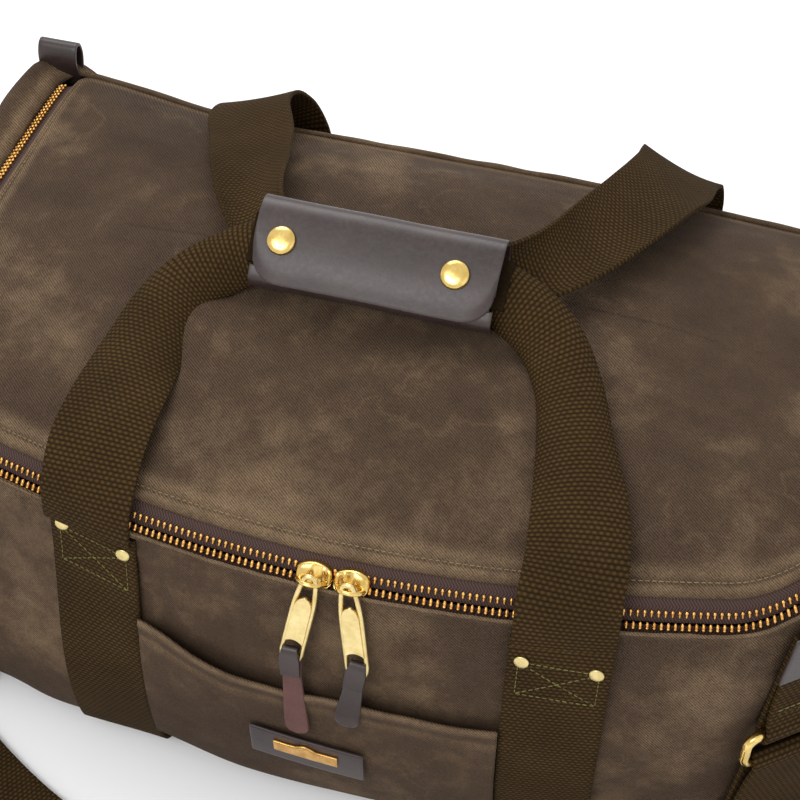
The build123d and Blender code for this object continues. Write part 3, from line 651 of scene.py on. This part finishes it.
def lid_top(plan, drop=0.0):
    """Lid surface over plan points; its dents fade out at the edge."""
    points = top_points(plan)
    x, y = plan[..., 0], plan[..., 1]
    bowed_y = BOW_Y - np.hypot(x, y - BOW_Y)
    inside = np.minimum(np.minimum(bowed_y + 152, ZIP_HALF - 12 - np.abs(x)), SEAM_Y - y)
    points[..., 2] += lid_dents(points) * step(0, 45, inside) - drop
    return points


def make_lid():
    edge = lid_place(LID_EDGE)
    spine = np.stack([np.clip(edge[:, 0] * 0.72, -165, 165), np.full(len(edge), 5.0)], axis=1)
    t = 1 - np.linspace(0, 1, 74) ** 1.35
    plan = spine[:, None, :] + (edge - spine)[:, None, :] * t[None, :, None]
    points = lid_top(plan)
    from_edge = np.linalg.norm(plan - edge[:, None, :], axis=2)
    roll = 0.9 * hump(from_edge, 2.6, 1.8) - 0.9 * hump(from_edge, 5.2, 0.8) - 1.3 * np.exp(-from_edge / 1.2)
    front = (1 - step(100, 170, RING_TURN))[:, None]
    points[..., 2] += roll * front
    wear = front * (hump(from_edge, 2.2, 2.2) + 0.8 * hump(from_edge, 8.5, 3.5))
    wear = wear + (1 - front) * 0.7 * hump(from_edge, 5, 4)
    skin("canvas_lid", points, CANVAS_LOOK, "lid", "top_panel", wear=wear, thick=CANVAS, closed=True)


def round_front(gap):
    """The ring's indices from its back left round the front to its back right, a gap short of the seam."""
    kept = np.flatnonzero((RING_TURN < 90.01) & (RING[:, 1] < SEAM_Y - gap))
    x, y = RING[kept].T
    order = np.where(x < 0, -1, 1) * np.where(RING_TURN[kept] < 89.9, RING_TURN[kept], 200 + y)
    return kept[np.argsort(order)]


ZIP_RUN = round_front(8)


def zip_strip(name, first, last, sink, body, node):
    """Woven tape beside the zip line, between two distances toward the lid."""
    cells = np.linspace(first, last, 5)
    plan = RING[ZIP_RUN][:, None] - RING_NORMAL[ZIP_RUN][:, None] * cells[None, :, None]
    flat = flat_grid(cells, lengths(RING[ZIP_RUN])).transpose(1, 0, 2)
    skin(name, top_points(plan, -sink), TAPE_LOOK, body, node, flat, thick=0.9)


def zip_teeth(name, row, body, node, reach, size):
    """One row of teeth and their beads: row is 1 on the lid's side of the line and -1 on the body's."""
    run = lengths(RING[ZIP_RUN])
    count = int(run[-1] / TOOTH_PITCH)
    centres = (np.arange(count) + (0.5 if row > 0 else 0.0)) * TOOTH_PITCH + 1.0
    line = np.concatenate([RING, RING_NORMAL], axis=1)[ZIP_RUN]
    at = np.stack([np.interp(centres, run, line[:, k]) for k in range(4)], axis=1)
    plan = at[:, :2] - at[:, 2:] * reach * row
    places = top_points(plan, 0.2)
    rise = top_points(plan - at[:, 2:] * 2.0, 0.2) - places
    across = unit(rise)
    along_line = np.stack([-at[:, 3], at[:, 2], np.zeros(count)], axis=1)
    ups = np.cross(along_line, across)
    ups = np.where(ups[:, 2:] < 0, -ups, ups)
    piece = capsules(name, places, across, ups, size, TEETH_LOOK, body)
    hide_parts(node)
    beads = places + across * row * 1.0 + ups * 0.35
    capsules(f"{name}_beads", beads, across, ups, (1.8, 1.8, 2.1), TEETH_LOOK, body)


def lid_topstitch():
    run = round_front(14)
    points = lid_top(lid_place(LID_EDGE + 5.2)[run], -0.25)
    ups = np.zeros_like(points)
    ups[:, 2] = 1
    ups[:, 1] = -0.4 * (1 - step(40, 80, RING_TURN[run]))
    stitches("lid_topstitch", points, ups, LID_THREAD_LOOK, "lid", 2.4, 0.55)


def make_welt():
    """Thin raised welt along the back seam."""
    x = np.linspace(-ZIP_HALF + 8, ZIP_HALF - 8, 180)
    centre = top_points(np.stack([x, np.full_like(x, SEAM_Y)], axis=1)) + (0, 1.2, 0.4)
    angles = np.linspace(0, 2 * math.pi, 11)
    circle = np.stack([np.zeros_like(angles), np.cos(angles), np.sin(angles)], axis=1) * 2.0
    points = centre[:, None, :] + circle[None]
    points[..., 2] += wobble(points, 20, 0.8)
    skin("back_seam_welt", points, CANVAS_LOOK, "root", wear=np.full(points.shape[:2], 0.4))


make_body()
make_lid()
zip_strip("tape_lid", 0.3, 13.0, 1.7, "lid", "zipper_tape_lid")
zip_strip("tape_body", -3.2, -0.3, 2.4, "root", "zipper_tape_body")
zip_teeth("teeth_lid", 1, "lid", "zipper_chain_lid", 1.7, (3.2, 1.2, 2.1))
zip_teeth("teeth_body", -1, "root", "zipper_chain_body", 1.6, (4.4, 1.8, 2.6))
lid_topstitch()
make_welt()

# ---- webbing bands, rivets and box stitching ----
RIVET_Z = 172.0
RIVET_X = 18.0
RIVET_RISE = {(-1, -1): 9.0, (-1, 1): 6.0, (1, -1): 4.0, (1, 1): 0.0}  # by side and edge of the band
BAND_TOP_Z = 190.0
BAND_LIFT = WEBBING + 0.9  # outer face of a band, off the canvas form
FLOOR_GAP = 0.1


def make_band(side, name):
    """One strip of webbing from the front rivets under the base to the back ones."""
    cells = np.linspace(-WEBBING_WIDTH / 2, WEBBING_WIDTH / 2, 17)
    x = BAND_MIDDLES[side] + cells
    front = front_wall(x, np.linspace(depth_at(BAND_TOP_Z), 1, 70), BAND_LIFT)
    rear = back_wall(x, np.linspace(0.2, 1, 60), BAND_LIFT)
    under_y = np.linspace(front[0, -1, 1], rear[0, -1, 1], 12)[1:-1]
    under = np.stack(np.broadcast_arrays(x[:, None], under_y, FLOOR_GAP), axis=2)
    points = np.concatenate([front, under, rear[:, ::-1]], axis=1)
    points[..., 2] = np.maximum(points[..., 2], FLOOR_GAP)
    flat = flat_grid(cells, lengths(points[8]))
    skin(f"band_webbing_{name}", points, WEBBING_LOOK, "root", f"band_{name}", flat, thick=WEBBING, flip=True)


BOX_HALF = 19.5
BOX_RISE = {-1: 6.0, 1: 2.0}
BOX_FALL = {-1: 0.08, 1: 0.1}


def box_stitch(side, name):
    """A sewn box with a cross, below the rivets; its top row stops short of their heads."""
    corners = {"a": (-BOX_HALF, 172), "b": (BOX_HALF, 172), "c": (BOX_HALF, 149), "d": (-BOX_HALF, 149)}
    for index, (first, last) in enumerate(("ab", "bc", "cd", "da", "ac", "bd")):
        row = np.linspace(corners[first], corners[last], 24)
        row = row[(np.abs(row[:, 0]) < BOX_HALF - 4.6) | (index > 0)]
        x = BAND_MIDDLES[side] + row[:, 0]
        z = row[:, 1] + BOX_RISE[side] - BOX_FALL[side] * row[:, 0]
        path = np.array([on_front(a, b, BAND_LIFT) for a, b in zip(x, z)])
        ups = np.array([on_front(a, b, BAND_LIFT + 1.0) for a, b in zip(x, z)]) - path
        stitches(f"box_stitch_{name}_{index}", path, ups, THREAD_LOOK, "root", 2.3, 0.5)


for side, name in SIDES:
    make_band(side, name)
    box_stitch(side, name)
    for edge in (-1, 1):
        x = BAND_MIDDLES[side] + edge * RIVET_X
        z = RIVET_Z + RIVET_RISE[side, edge]
        label = f"{name}_{'inner' if edge * side < 0 else 'outer'}"
        at = on_front(x, z, BAND_LIFT)
        out = on_front(x, z, BAND_LIFT + 2.0) - at
        disc(f"rivet_front_{label}", at, out, 3.8, 1.3, 0.1, PALE_BRASS_LOOK, "root")
        at = back_wall(x, np.array([0.36]), BAND_LIFT)[0, 0]
        out = (0, 0.99, 0.16)
        disc(f"rivet_back_{label}", at, out, 3.7, 1.7, 0.1, PALE_BRASS_LOOK, "root")
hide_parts("anchor_rivets")

# ---- slip pocket with its hem and label ----
POCKET_HALF = BAND_X - WEBBING_WIDTH / 2 - 0.4


def pocket_top(x):
    crown = 5 * np.cos(np.clip(x / POCKET_HALF, -1, 1) * math.pi / 2) ** 1.2
    return 122 + crown + 15 * step(0.4, 1, -x / POCKET_HALF) + 1.2 * np.sin(x / 17.0)


def make_pocket():
    x = np.linspace(BAND_MIDDLES[-1] + WEBBING_WIDTH / 2 + 0.3, POCKET_HALF, 90)
    drops = np.concatenate([[0, 0.8, 2.2], np.linspace(4, 104, 46)])
    points = np.array([[on_front(a, pocket_top(a) - drop, 2.4) for drop in drops] for a in x])
    free = np.cos(np.clip(x / POCKET_HALF, -1, 1) * math.pi / 2)[:, None]
    gape = free * 3.2 * np.exp(-drops / 16)[None, :]
    folds = wobble(points, 26, 2.4, 3.0) * free * (1 - step(60, 100, drops))[None, :]
    crest = (0.9 * hump(drops, 3, 3) - 0.8 * hump(drops, 13.0, 1.0))[None, :]
    points[..., 1] -= gape + folds * 0.6 + crest + 1.0
    wear = np.tile(hump(drops, 1.5, 2.5) + 0.6 * hump(drops, 13, 3), (len(x), 1))
    piece = skin("slip_pocket_canvas", points, CANVAS_LOOK, "root", wear=wear, thick=1.6)
    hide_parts("slip_pocket", "pocket_hem")
    for index, drop in enumerate((3.6, 11.0)):
        j = int(np.argmin(np.abs(drops - drop)))
        path = points[2:-2, j] + np.array([0, -0.15, 0.1])
        ups = np.tile((0.0, -1.0, 0.15), (len(path), 1))
        stitches(f"pocket_stitch_{index}", path, ups, LID_THREAD_LOOK, "root", 2.4, 0.55)


LABEL_TILT = 0.08  # the label hangs lower at its right


def on_label(x, z, lift):
    """A point over the pocket at the label's slope."""
    return on_front(x, z - LABEL_TILT * x, lift) - (0, 1.6, 0)


def make_label():
    """The leather label, and its plain plate with a low peak in its top edge."""
    heights = np.linspace(86, 61, 14)
    points = np.array([[on_label(x, z, 5.8) for z in heights] for x in np.linspace(-31, 31, 32)])
    skin("label_leather", points, LEATHER_LOOK, "root", "label_patch", thick=1.8, edges=0.6)
    rows = []
    for value in np.linspace(-1, 1, 41):
        top = 79.7 + 2.6 * np.cos(np.clip(value / 0.42, -1, 1) * math.pi / 2) ** 2
        rows.append([on_label(17.5 * value, z, 7.6) for z in np.linspace(71.3, top, 9)])
    plate = skin("label_brass", np.array(rows), TEETH_LOOK, "root", "label_plate", thick=1.4, flip=True)
    round_edges(plate, 0.4, 2, 50)


make_pocket()
make_label()

# ---- handles ----
GRIP = np.array([-10.0, -22.0, 275.0])
GRIP_LEAN = math.radians(40)
GRIP_LENGTH = 128.0
GRIP_UP = np.array([0, math.cos(GRIP_LEAN), math.sin(GRIP_LEAN)])
GRIP_OUT = np.array([0, -math.sin(GRIP_LEAN), math.cos(GRIP_LEAN)])


def in_grip(x, y, z):
    """Places in the grip: along it, up its slope and out of it."""
    x, y, z = np.broadcast_arrays(np.asarray(x, float), y, z)
    along_x = np.array([1.0, 0, 0])
    return GRIP + x[..., None] * along_x + y[..., None] * GRIP_UP + z[..., None] * GRIP_OUT


# each leg's places, the direction across it and how far it is folded; x is mirrored for the left leg
FRONT_LEGS = {
    -1: (
        ((118.9, -166.4, 189), (0.986, 0.167, 0), 0.02),
        ((118.8, -166.8, 198), (0.986, 0.167, 0), 0.03),
        ((119, -161.5, 213), (0.99, 0.12, 0), 0.05),
        ((119, -142, 231), (1, 0, 0), 0.12),
        ((117, -114, 241), (1, 0.05, 0), 0.3),
        ((113, -80, 246), (0.94, 0.3, 0.15), 0.65),
        ((104, -44, 251), (0.74, 0.46, 0.5), 0.98),
        ((82, -29, 263), (0.4, 0.7, 0.58), 1.0),
        ((60, -23.5, 272), (0.1, 0.76, 0.63), 1.0),
        ((40, -22.5, 274.5), (0, 0.766, 0.643), 1.0),
    ),
    1: (
        ((124.6, -167.4, 186), (0.986, 0.167, 0), 0.02),
        ((124.4, -167.2, 197), (0.986, 0.167, 0), 0.04),
        ((124, -163, 213), (0.99, 0.12, 0), 0.08),
        ((123, -146, 231), (1, 0, 0), 0.22),
        ((119, -120, 242), (1, 0.05, 0), 0.5),
        ((111, -88, 249), (0.96, 0.25, 0.1), 0.85),
        ((102, -58, 256), (0.8, 0.55, 0.3), 1.0),
        ((88, -38, 265), (0.45, 0.7, 0.5), 1.0),
        ((66, -26, 272), (0.15, 0.76, 0.62), 1.0),
        ((40, -22.5, 274.5), (0, 0.766, 0.643), 1.0),
    ),
}
BACK_LEGS = {
    -1: (
        ((119, 164.2, 186), (1, 0, 0), 0.02),
        ((121, 164.8, 203), (1, 0, 0), 0.02),
        ((129, 161, 220), (0.97, -0.14, -0.1), 0.04),
        ((135, 149, 232), (0.93, -0.25, -0.22), 0.06),
        ((132, 126, 240), (0.9, -0.35, -0.2), 0.12),
        ((116, 92, 248), (0.88, -0.42, -0.1), 0.25),
        ((100, 54, 257), (0.8, -0.58, -0.1), 0.5),
        ((80, 14, 266), (0.5, -0.75, -0.35), 0.85),
        ((60, -12, 271), (0.15, -0.78, -0.6), 1.0),
        ((40, -19, 272), (0, -0.766, -0.643), 1.0),
    ),
    1: (
        ((124, 164.5, 186), (1, 0, 0), 0.02),
        ((124, 165, 205), (1, 0, 0), 0.02),
        ((122, 161, 224), (0.97, -0.14, -0.1), 0.04),
        ((121, 149, 237), (0.9, -0.3, -0.22), 0.06),
        ((121, 127, 246), (0.87, -0.42, -0.2), 0.1),
        ((117, 97, 256), (0.86, -0.48, -0.1), 0.25),
        ((106, 58, 263), (0.78, -0.6, -0.15), 0.5),
        ((86, 14, 268), (0.5, -0.75, -0.35), 0.85),
        ((62, -12, 271), (0.15, -0.78, -0.6), 1.0),
        ((40, -19, 272), (0, -0.766, -0.643), 1.0),
    ),
}


def make_leg(end, name, side, stations, depth, start, finish):
    """A handle leg, curved between the bag and its handle; its top end runs into the grip."""
    place, across, fold = (np.array(part, float) for part in zip(*stations))
    late = np.linspace(0, 1, len(stations))
    place[:, 0] = side * place[:, 0] + GRIP[0] * step(0.3, 1.0, late)
    place += GRIP_OUT * depth * step(0.6, 1.0, late)[:, None]
    across[:, 1:] *= side
    piece = ribbon(f"{end}_leg_{name}", place, across, fold, WEBBING_LOOK, None)
    places = {"start": start, "end": finish}
    places = {key: [side * x * MM, y * MM, z * MM] for key, (x, y, z) in places.items()}
    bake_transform(piece)
    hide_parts(f"handle_{end}_leg_{name}")


for side, name in SIDES:
    make_leg("front", name, side, FRONT_LEGS[side], -0.5, (124, -165, 188), (118, -110, 246))
    make_leg("back", name, side, BACK_LEGS[side], -5.0, (124, 162, 188), (120, 115, 250))


GRIP_WRAP = ((19.0, 4.0), (20.2, 1.5), (20.4, -2), (19, -7), (14, -10.6), (0, -11.2), (-14, -10.6), (-21, -7),
             (-23, -1), (-21.5, 4.5), (-15, 6.2))
GRIP_INNER = ((-21.5, 4.6), (-12, 6.8), (-2, 7.6), (6, 7.8))
GRIP_FLAP = ((21.6, -3.0), (22.6, 1.0), (22.4, 5.0), (19.6, 9.0), (14, 11.2), (5, 11.9), (-6, 11.9),
             (-15, 11.0), (-23.5, 9.0))
FLAP_CORNER = 17.0


def make_grip():
    """The leather wrapped round both handles, its two flaps and the snaps' caps."""
    x = np.linspace(-GRIP_LENGTH / 2, GRIP_LENGTH / 2, 60)
    curve = spline(GRIP_WRAP, np.linspace(0, 1, 50))
    points = in_grip(x[:, None], curve[None, :, 0], curve[None, :, 1])
    points[..., 2] += wobble(points, 40, 0.9)
    skin("grip_leather", points, LEATHER_LOOK, "handle_back", "grip_wrap", thick=1.8, edges=0.5, flip=True)

    curve = spline(GRIP_INNER, np.linspace(0, 1, 16))
    points = in_grip(x[1:-1, None], curve[None, :, 0], curve[None, :, 1])
    body = "grip_inner_flap"
    skin("grip_inner_leather", points, LEATHER_LOOK, body, body, thick=1.6, flip=True)

    x = np.linspace(-GRIP_LENGTH / 2, GRIP_LENGTH / 2, 90)[:, None]
    curve = spline(GRIP_FLAP, np.linspace(0, 1, 44))[None]
    over = np.maximum(0.0, np.abs(x) - (GRIP_LENGTH / 2 - FLAP_CORNER))
    lift = FLAP_CORNER - np.sqrt(np.maximum(FLAP_CORNER**2 - over**2, 0))
    fall = np.clip((14 - curve[..., 0]) / 37.5, 0, None)
    points = in_grip(x, curve[..., 0] + lift * fall, curve[..., 1])
    points[..., 2] += wobble(points, 45, 0.8, 1.0)
    flap = skin("grip_flap_leather", points, LEATHER_LOOK, "grip_flap", "grip_flap", thick=1.9, flip=True)
    round_edges(flap, 0.6, 3, 50)
    for index, x_at in enumerate((-49, 42)):
        place = in_grip(x_at, -1.0, 11.6)
        cap = disc(f"snap_cap_{index}", place, GRIP_OUT, 7.6, 3.2, 0.25, BRASS_LOOK, "grip_flap")
        if index == 0:
            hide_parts("snap_caps")


make_grip()


# ---- leather loops at the zipper's ends ----
END_LOOP_X = 266.0
END_LOOP = ((-1.5, -6), (-4.0, 4), (-5.2, 13), (-3.2, 20), (0, 22), (3.2, 20), (5.2, 13), (4.0, 4), (1.5, -6))


def make_end_loop(side, name):
    """A standing teardrop loop of leather."""
    curve = spline(END_LOOP, np.linspace(0, 1, 50))
    x = side * END_LOOP_X + np.linspace(-12.5, 12.5, 9)
    z = curve[:, 1] + top_height(side * ZIP_HALF, SEAM_Y) + 1
    points = np.stack(np.broadcast_arrays(x[:, None], SEAM_Y + 1 + curve[:, 0], z), axis=2)
    skin(f"end_loop_{name}", points, LEATHER_LOOK, "root", f"zipper_end_tab_{name}", thick=1.9, edges=0.5,
         flip=True, offset=0.0)


for side, name in SIDES:
    make_end_loop(side, name)

# ---- zipper pull tabs ----
PULL_LENGTH = 56.0
PULL_SWAY = 9.0
PULL_DROP = 12.0


SLIDERS_X = 11.0
SLIDER_APART = 9.5


def slider_frame(side):
    """The slider's middle on the zip line, and the directions along it, up the slope and out."""
    lean = math.radians(ZIP_TILT)
    x = SLIDERS_X + side * SLIDER_APART
    turn = math.asin(x / BOW)
    out = np.array([math.sin(turn) * math.sin(lean), -math.cos(turn) * math.sin(lean), math.cos(lean)])
    run = np.array([math.cos(turn), math.sin(turn), 0])
    return np.array([x, BOW_Y - BOW * math.cos(turn), ZIP_Z]), run, np.cross(out, run), out


def pull_frame(side):
    """A hanging pull's pin, and the directions across it, up it and out of it."""
    middle, _, slope_up, out = slider_frame(side)
    sway, drop = math.radians(side * PULL_SWAY), math.radians(PULL_DROP)
    normal = np.array([0, -math.cos(drop), math.sin(drop)])
    across = np.array([math.cos(sway), math.sin(sway) * math.sin(drop), math.sin(sway) * math.cos(drop)])
    return middle + out * 8.2 - slope_up * 2.0, across, np.cross(normal, across), normal


# a tab's side view: out to the front and down from the pull's slit, then its hanging end
TAB_LOOP = ((3.4, 13), (3.2, 4), (2.6, -3), (0.5, -5.5), (-2.2, -2), (-2.6, 5), (0.4, 13), (1.4, 22))


def make_pull_tab(side, name, length, turn, look):
    """A leather tab: a narrow loop through the pull's slit, and a tongue that hangs from it."""
    pin, _, up, _ = pull_frame(side)
    slit = pin + up * (8.5 - PULL_LENGTH)
    angle = math.radians(turn)
    side_way = np.array([math.cos(angle), 0, math.sin(angle)])
    down = np.array([math.sin(angle), 0, -math.cos(angle)])
    front = np.array([0, -1.0, 0])
    path = [slit + front * a + down * b for a, b in (*TAB_LOOP, (1.8, length * 0.7), (1.2, length - 4))]
    centre = spline(path, np.linspace(0, 1, 80))
    run = lengths(centre)
    half = np.interp(run, [0, 13, 19, 27, 36, run[-1] - 12], [5.0, 5.2, 3.9, 3.9, 4.6, 6.3])
    tip = np.clip((run[-1] - run) / 6.3, 0, 1)
    half = half * np.sqrt(np.clip(1 - (1 - tip) ** 2, 0.02, 1))
    _, across_way, _ = frames(centre, np.tile(side_way, (len(centre), 1)))
    cells = np.linspace(-1, 1, 9)
    points = centre[None] + across_way[None] * (cells[:, None] * half[None, :])[..., None]
    split = int(np.searchsorted(run, 27.0))
    body = f"pull_tab_{name}"
    parts = {"loop": (points[:, :split + 1], LEATHER_LOOK), "tongue": (points[:, split:], look)}
    for label, (part, finish) in parts.items():
        skin(f"leather_{label}_{name}", part, finish, body, body, thick=1.7, edges=0.5, offset=0.0)


def tube(name, path, radius, look, body, node=None, closed=False):
    """A round bar along a path."""
    run = unit(np.gradient(path, axis=0))
    if closed:
        run = unit(np.roll(path, -1, axis=0) - np.roll(path, 1, axis=0))
    guide = np.linalg.svd(path - path.mean(0))[2][2]
    side = unit(np.cross(run, guide))
    angles = np.linspace(0, 2 * math.pi, 13)[None, :, None]
    points = path[:, None] + radius * (side[:, None] * np.cos(angles) + guide * np.sin(angles))
    skin(name, points, look, body, node, closed=closed)


SLIDER_HALF = 9.2
SLIDER_TOP = 3.9
SLIDER_LOW = 6.4
SLIDER_WAIST = (5.4, 6.0, 6.9, 7.2, 6.8, 6.0, 5.2)
SLIDER_ARCH = ((-6.5, 2.5), (-6.2, 6.0), (-3.6, 9.0), (0, 9.8), (3.8, 8.6), (6.0, 5.4), (6.4, 2.5))
PULL_OUTLINE = ((0, 4.2), (2.4, 3.0), (3.6, -2), (4.6, -10), (5.0, -20), (5.0, -42), (4.8, -47), (3.4, -50.6),
                (0, -52))


def make_slider(side, name):
    """A cast body with a waist and a raised bridge that holds the pull."""
    middle, run, slope_up, out = slider_frame(side)
    head = -side
    u = np.linspace(-1, 1, 41)
    cap = np.sqrt(np.clip(1 - np.abs(u) ** 7, 0.0, 1))
    half = spline(SLIDER_WAIST, (u + 1) / 2)[:, 0] * cap
    angles = np.linspace(0, 2 * math.pi, 41)
    c, n = np.cos(angles), np.sin(angles)
    wide = np.sign(c) * np.abs(c) ** 0.55
    high = np.sign(n) * np.abs(n) ** 0.6
    height = np.where(high > 0, high * SLIDER_TOP, high * SLIDER_LOW)
    dish = 2.6 * hump(u, 0.45, 0.38)[:, None] * (high > 0.75)[None, :]
    points = (
        middle + run * (head * u * SLIDER_HALF)[:, None, None]
        + slope_up * (wide[None, :] * half[:, None])[..., None]
        + out * (height[None, :] * cap[:, None] - dish)[..., None]
    )
    body = f"slider_{name}"
    skin(f"slider_body_{name}", points, BRASS_LOOK, body, body, flip=head > 0)
    arch = spline(SLIDER_ARCH, np.linspace(0, 1, 30))
    path = middle + run * (head * arch[:, :1]) + out * arch[:, 1:] - slope_up * 2.0
    tube(f"slider_bridge_{name}", path, 1.25, BRASS_LOOK, body)


def make_pull(side, name):
    """A long pull: a rail round its outline, a flat face in the middle, open at both ends."""
    pin, across, up, normal = pull_frame(side)
    loop = PULL_OUTLINE + tuple((-x, y) for x, y in PULL_OUTLINE[-2::-1])
    rail = spline(loop, np.linspace(0, 1, 121))[:-1]
    path = pin + across * rail[:, :1] + up * rail[:, 1:]
    body = f"pull_{name}"
    tube(f"pull_rail_{name}", path, 1.35, PULL_LOOK, body, body, closed=True)
    t = np.linspace(0, 1, 30)[:, None]
    cells = np.linspace(-1, 1, 17)
    crown = 1 - cells**2
    top, low = -11.0 + 2.5 * crown, -38.5 + 2.2 * crown
    x = cells * np.interp(t, [0, 0.12, 1], [3.4, 4.4, 4.9])
    y = top + (low - top) * t
    points = pin + across * x[..., None] + up * y[..., None] + normal * 1.0
    face = skin(f"pull_face_{name}", points, PULL_LOOK, body, thick=2.2, offset=0.0)
    round_edges(face, 0.5, 3, 50)


for side, name in SIDES:
    make_slider(side, name)
    make_pull(side, name)

make_pull_tab(-1, "left", 69.0, 2.0, SUEDE_LOOK)
make_pull_tab(1, "right", 53.0, -7.0, LEATHER_LOOK)

# ---- corner anchors, strap drops and the shoulder strap ----
CORNER_TURN = math.radians(40)
CORNER_REACH = 251.4
ANCHOR_SHIFT = 101.5
ANCHOR_TILT = 0.13  # the strap's anchors lean, turning about their rings
ANCHOR_LEVEL = 122.0


def at_corner(side, across, out, z):
    """Places on a front corner: across it, out from its canvas, and up."""
    across, out, z = np.broadcast_arrays(np.asarray(across, float), out, z)
    c, s = math.cos(CORNER_TURN), math.sin(CORNER_TURN)
    shift = ANCHOR_SHIFT + across * side + ANCHOR_TILT * (z - ANCHOR_LEVEL)
    reach = CORNER_REACH + out
    return np.stack([side * (reach * s + shift * c), shift * s - reach * c, z], axis=-1)


# side views of the webbing at a corner: distance out from its canvas, and height
ANCHOR = ((1.6, 198), (1.4, 165), (1.6, 140), (2.2, 128.5), (4.2, 124.4), (7.4, 124.3), (10.2, 127.4),
          (9.8, 132), (7.0, 137.5), (5.0, 150), (4.4, 172), (4.4, 196))
DROP = ((3.4, 8.5), (2.6, 40), (2.8, 80), (3.2, 100), (4.2, 108.5), (6.6, 110.6), (9.6, 108.6), (10.4, 103),
        (8.8, 92), (7.4, 70), (7.0, 40), (8.0, 8.5))


def corner_strap(side, section, name, node, width=49.0):
    """Webbing that hangs at a corner, looped through the ring there."""
    curve = spline(section, np.linspace(0, 1, 90))
    cells = np.linspace(-width / 2, width / 2, 15)
    points = at_corner(side, cells[:, None], curve[None, :, 0], curve[None, :, 1])
    flat = flat_grid(cells, lengths(points[7]))
    skin(name, points, WEBBING_LOOK, "root", node, flat, thick=WEBBING, edges=0.4, flip=side > 0, offset=0.0)


for side, name in SIDES:
    corner_strap(side, ANCHOR, f"anchor_webbing_{name}", f"ring_anchor_{name}")
    points = at_corner(side, np.linspace(-28, 28, 24)[:, None], 7.0, np.linspace(201, 169, 14)[None, :])
    skin(f"anchor_leather_{name}", points, LEATHER_LOOK, "root", f"anchor_patch_{name}", thick=1.9, edges=0.6,
         flip=side > 0)
    for index, z in enumerate((146.0, 142.5)):
        path = at_corner(side, np.linspace(-21, 21, 24), 6.6, z)
        ups = np.tile((side * math.sin(CORNER_TURN), -math.cos(CORNER_TURN), 0.0), (len(path), 1))
        stitches(f"anchor_stitch_{name}_{index}", path, ups, THREAD_LOOK, "root", 2.6, 0.8)
    corner_strap(side, DROP, f"strap_drop_webbing_{name}", f"strap_drop_{name}")

RUN_CENTRE_Y = 109.0
RUN_RADIUS = 374.0
RUN_ANGLE = 46.0
ADJUSTER_ANGLE = 25.0


def floor_strap(name, first, last, z, node):
    """Webbing laid flat on the floor in an arc, between two angles from the front."""
    turn = np.radians(np.linspace(first, last, 120))
    cells = np.linspace(-WEBBING_WIDTH / 2, WEBBING_WIDTH / 2, 15)
    radius = RUN_RADIUS + cells[:, None]
    x = radius * np.sin(turn)[None, :]
    y = RUN_CENTRE_Y - radius * np.cos(turn)[None, :]
    points = np.stack([x, y, np.full_like(x, z)], axis=2)
    points[..., 2] += np.abs(wobble(points, 60, 0.9, 5.0))
    flat = flat_grid(cells, RUN_RADIUS * turn)
    piece = skin(name, points, WEBBING_LOOK, "root", node, flat, thick=WEBBING, edges=0.4, flip=True)


floor_strap("strap_on_floor", -RUN_ANGLE, RUN_ANGLE, 2.2, "strap_run")
floor_strap("strap_doubled_back", ADJUSTER_ANGLE - 3, RUN_ANGLE, 5.2, "strap_return")

# ---- finishes of the CAD pieces that stay ----
KEPT = {
    "ring_left": BRASS_LOOK, "ring_right": BRASS_LOOK, "snap_studs": BRASS_LOOK, "strap_adjuster": BRASS_LOOK,
    "base_board": BOARD_LOOK, "inner_pocket": LINING_LOOK,
    "handle_front_core": WEBBING_LOOK, "handle_back_core": WEBBING_LOOK,
}
for node, look in KEPT.items():
    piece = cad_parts[node]
    piece.data.materials.clear()
    piece.data.materials.append(look)
    round_edges(piece, 0.35, 2, 40)

# ---- floor, light and camera ----
floor = bpy.data.meshes.new("floor")
floor.from_pydata([(-6, -6, 0), (6, -6, 0), (6, 6, 0), (-6, 6, 0)], [], [(0, 1, 2, 3)])
floor.materials.append(FLOOR_LOOK)
add("floor", floor)


def area_light(name, place, aim, size, power):
    data = bpy.data.lights.new(name, "AREA")
    data.shape = "RECTANGLE"
    data.size, data.size_y = size
    data.energy = power
    lamp = add(name, data)
    lamp.location = place
    lamp.rotation_euler = (Vector(aim) - Vector(place)).to_track_quat("-Z", "Y").to_euler()


area_light("overhead", (-0.5, 0.7, 1.7), (0, 0, 0.15), (1.2, 0.9), 15)
area_light("window", (-0.35, -1.0, 1.15), (0, 0, 0.25), (0.8, 0.5), 7)
area_light("fill", (1.3, -1.2, 0.9), (0, 0, 0.1), (1.2, 1.2), 2)
world = bpy.data.worlds.new("studio")
world.use_nodes = True
world.node_tree.nodes["Background"].inputs["Color"].default_value = (1, 1, 1, 1)
world.node_tree.nodes["Background"].inputs["Strength"].default_value = 0.96
bpy.context.scene.world = world
bpy.context.scene.view_settings.view_transform = "Standard"

AZIMUTH = math.radians(15.05)
ELEVATION = math.radians(45.25)
ROLL = math.radians(1.19)
CAMERA_PLACE = (0.17595, -0.66639, 0.85161)
level = math.cos(ELEVATION)
away = Vector((math.sin(AZIMUTH) * level, -math.cos(AZIMUTH) * level, math.sin(ELEVATION)))
right = (-away).cross(Vector((0, 0, 1))).normalized()
upward = right.cross(-away)
lens = bpy.data.cameras.new("camera")
lens.lens = 77.9
lens.sensor_width = 36
camera = add("camera", lens)
turned_right = right * math.cos(ROLL) + upward * math.sin(ROLL)
turned_up = -right * math.sin(ROLL) + upward * math.cos(ROLL)
camera.matrix_world = Matrix((turned_right, turned_up, away)).transposed().to_4x4()
camera.location = CAMERA_PLACE
bpy.context.scene.camera = camera
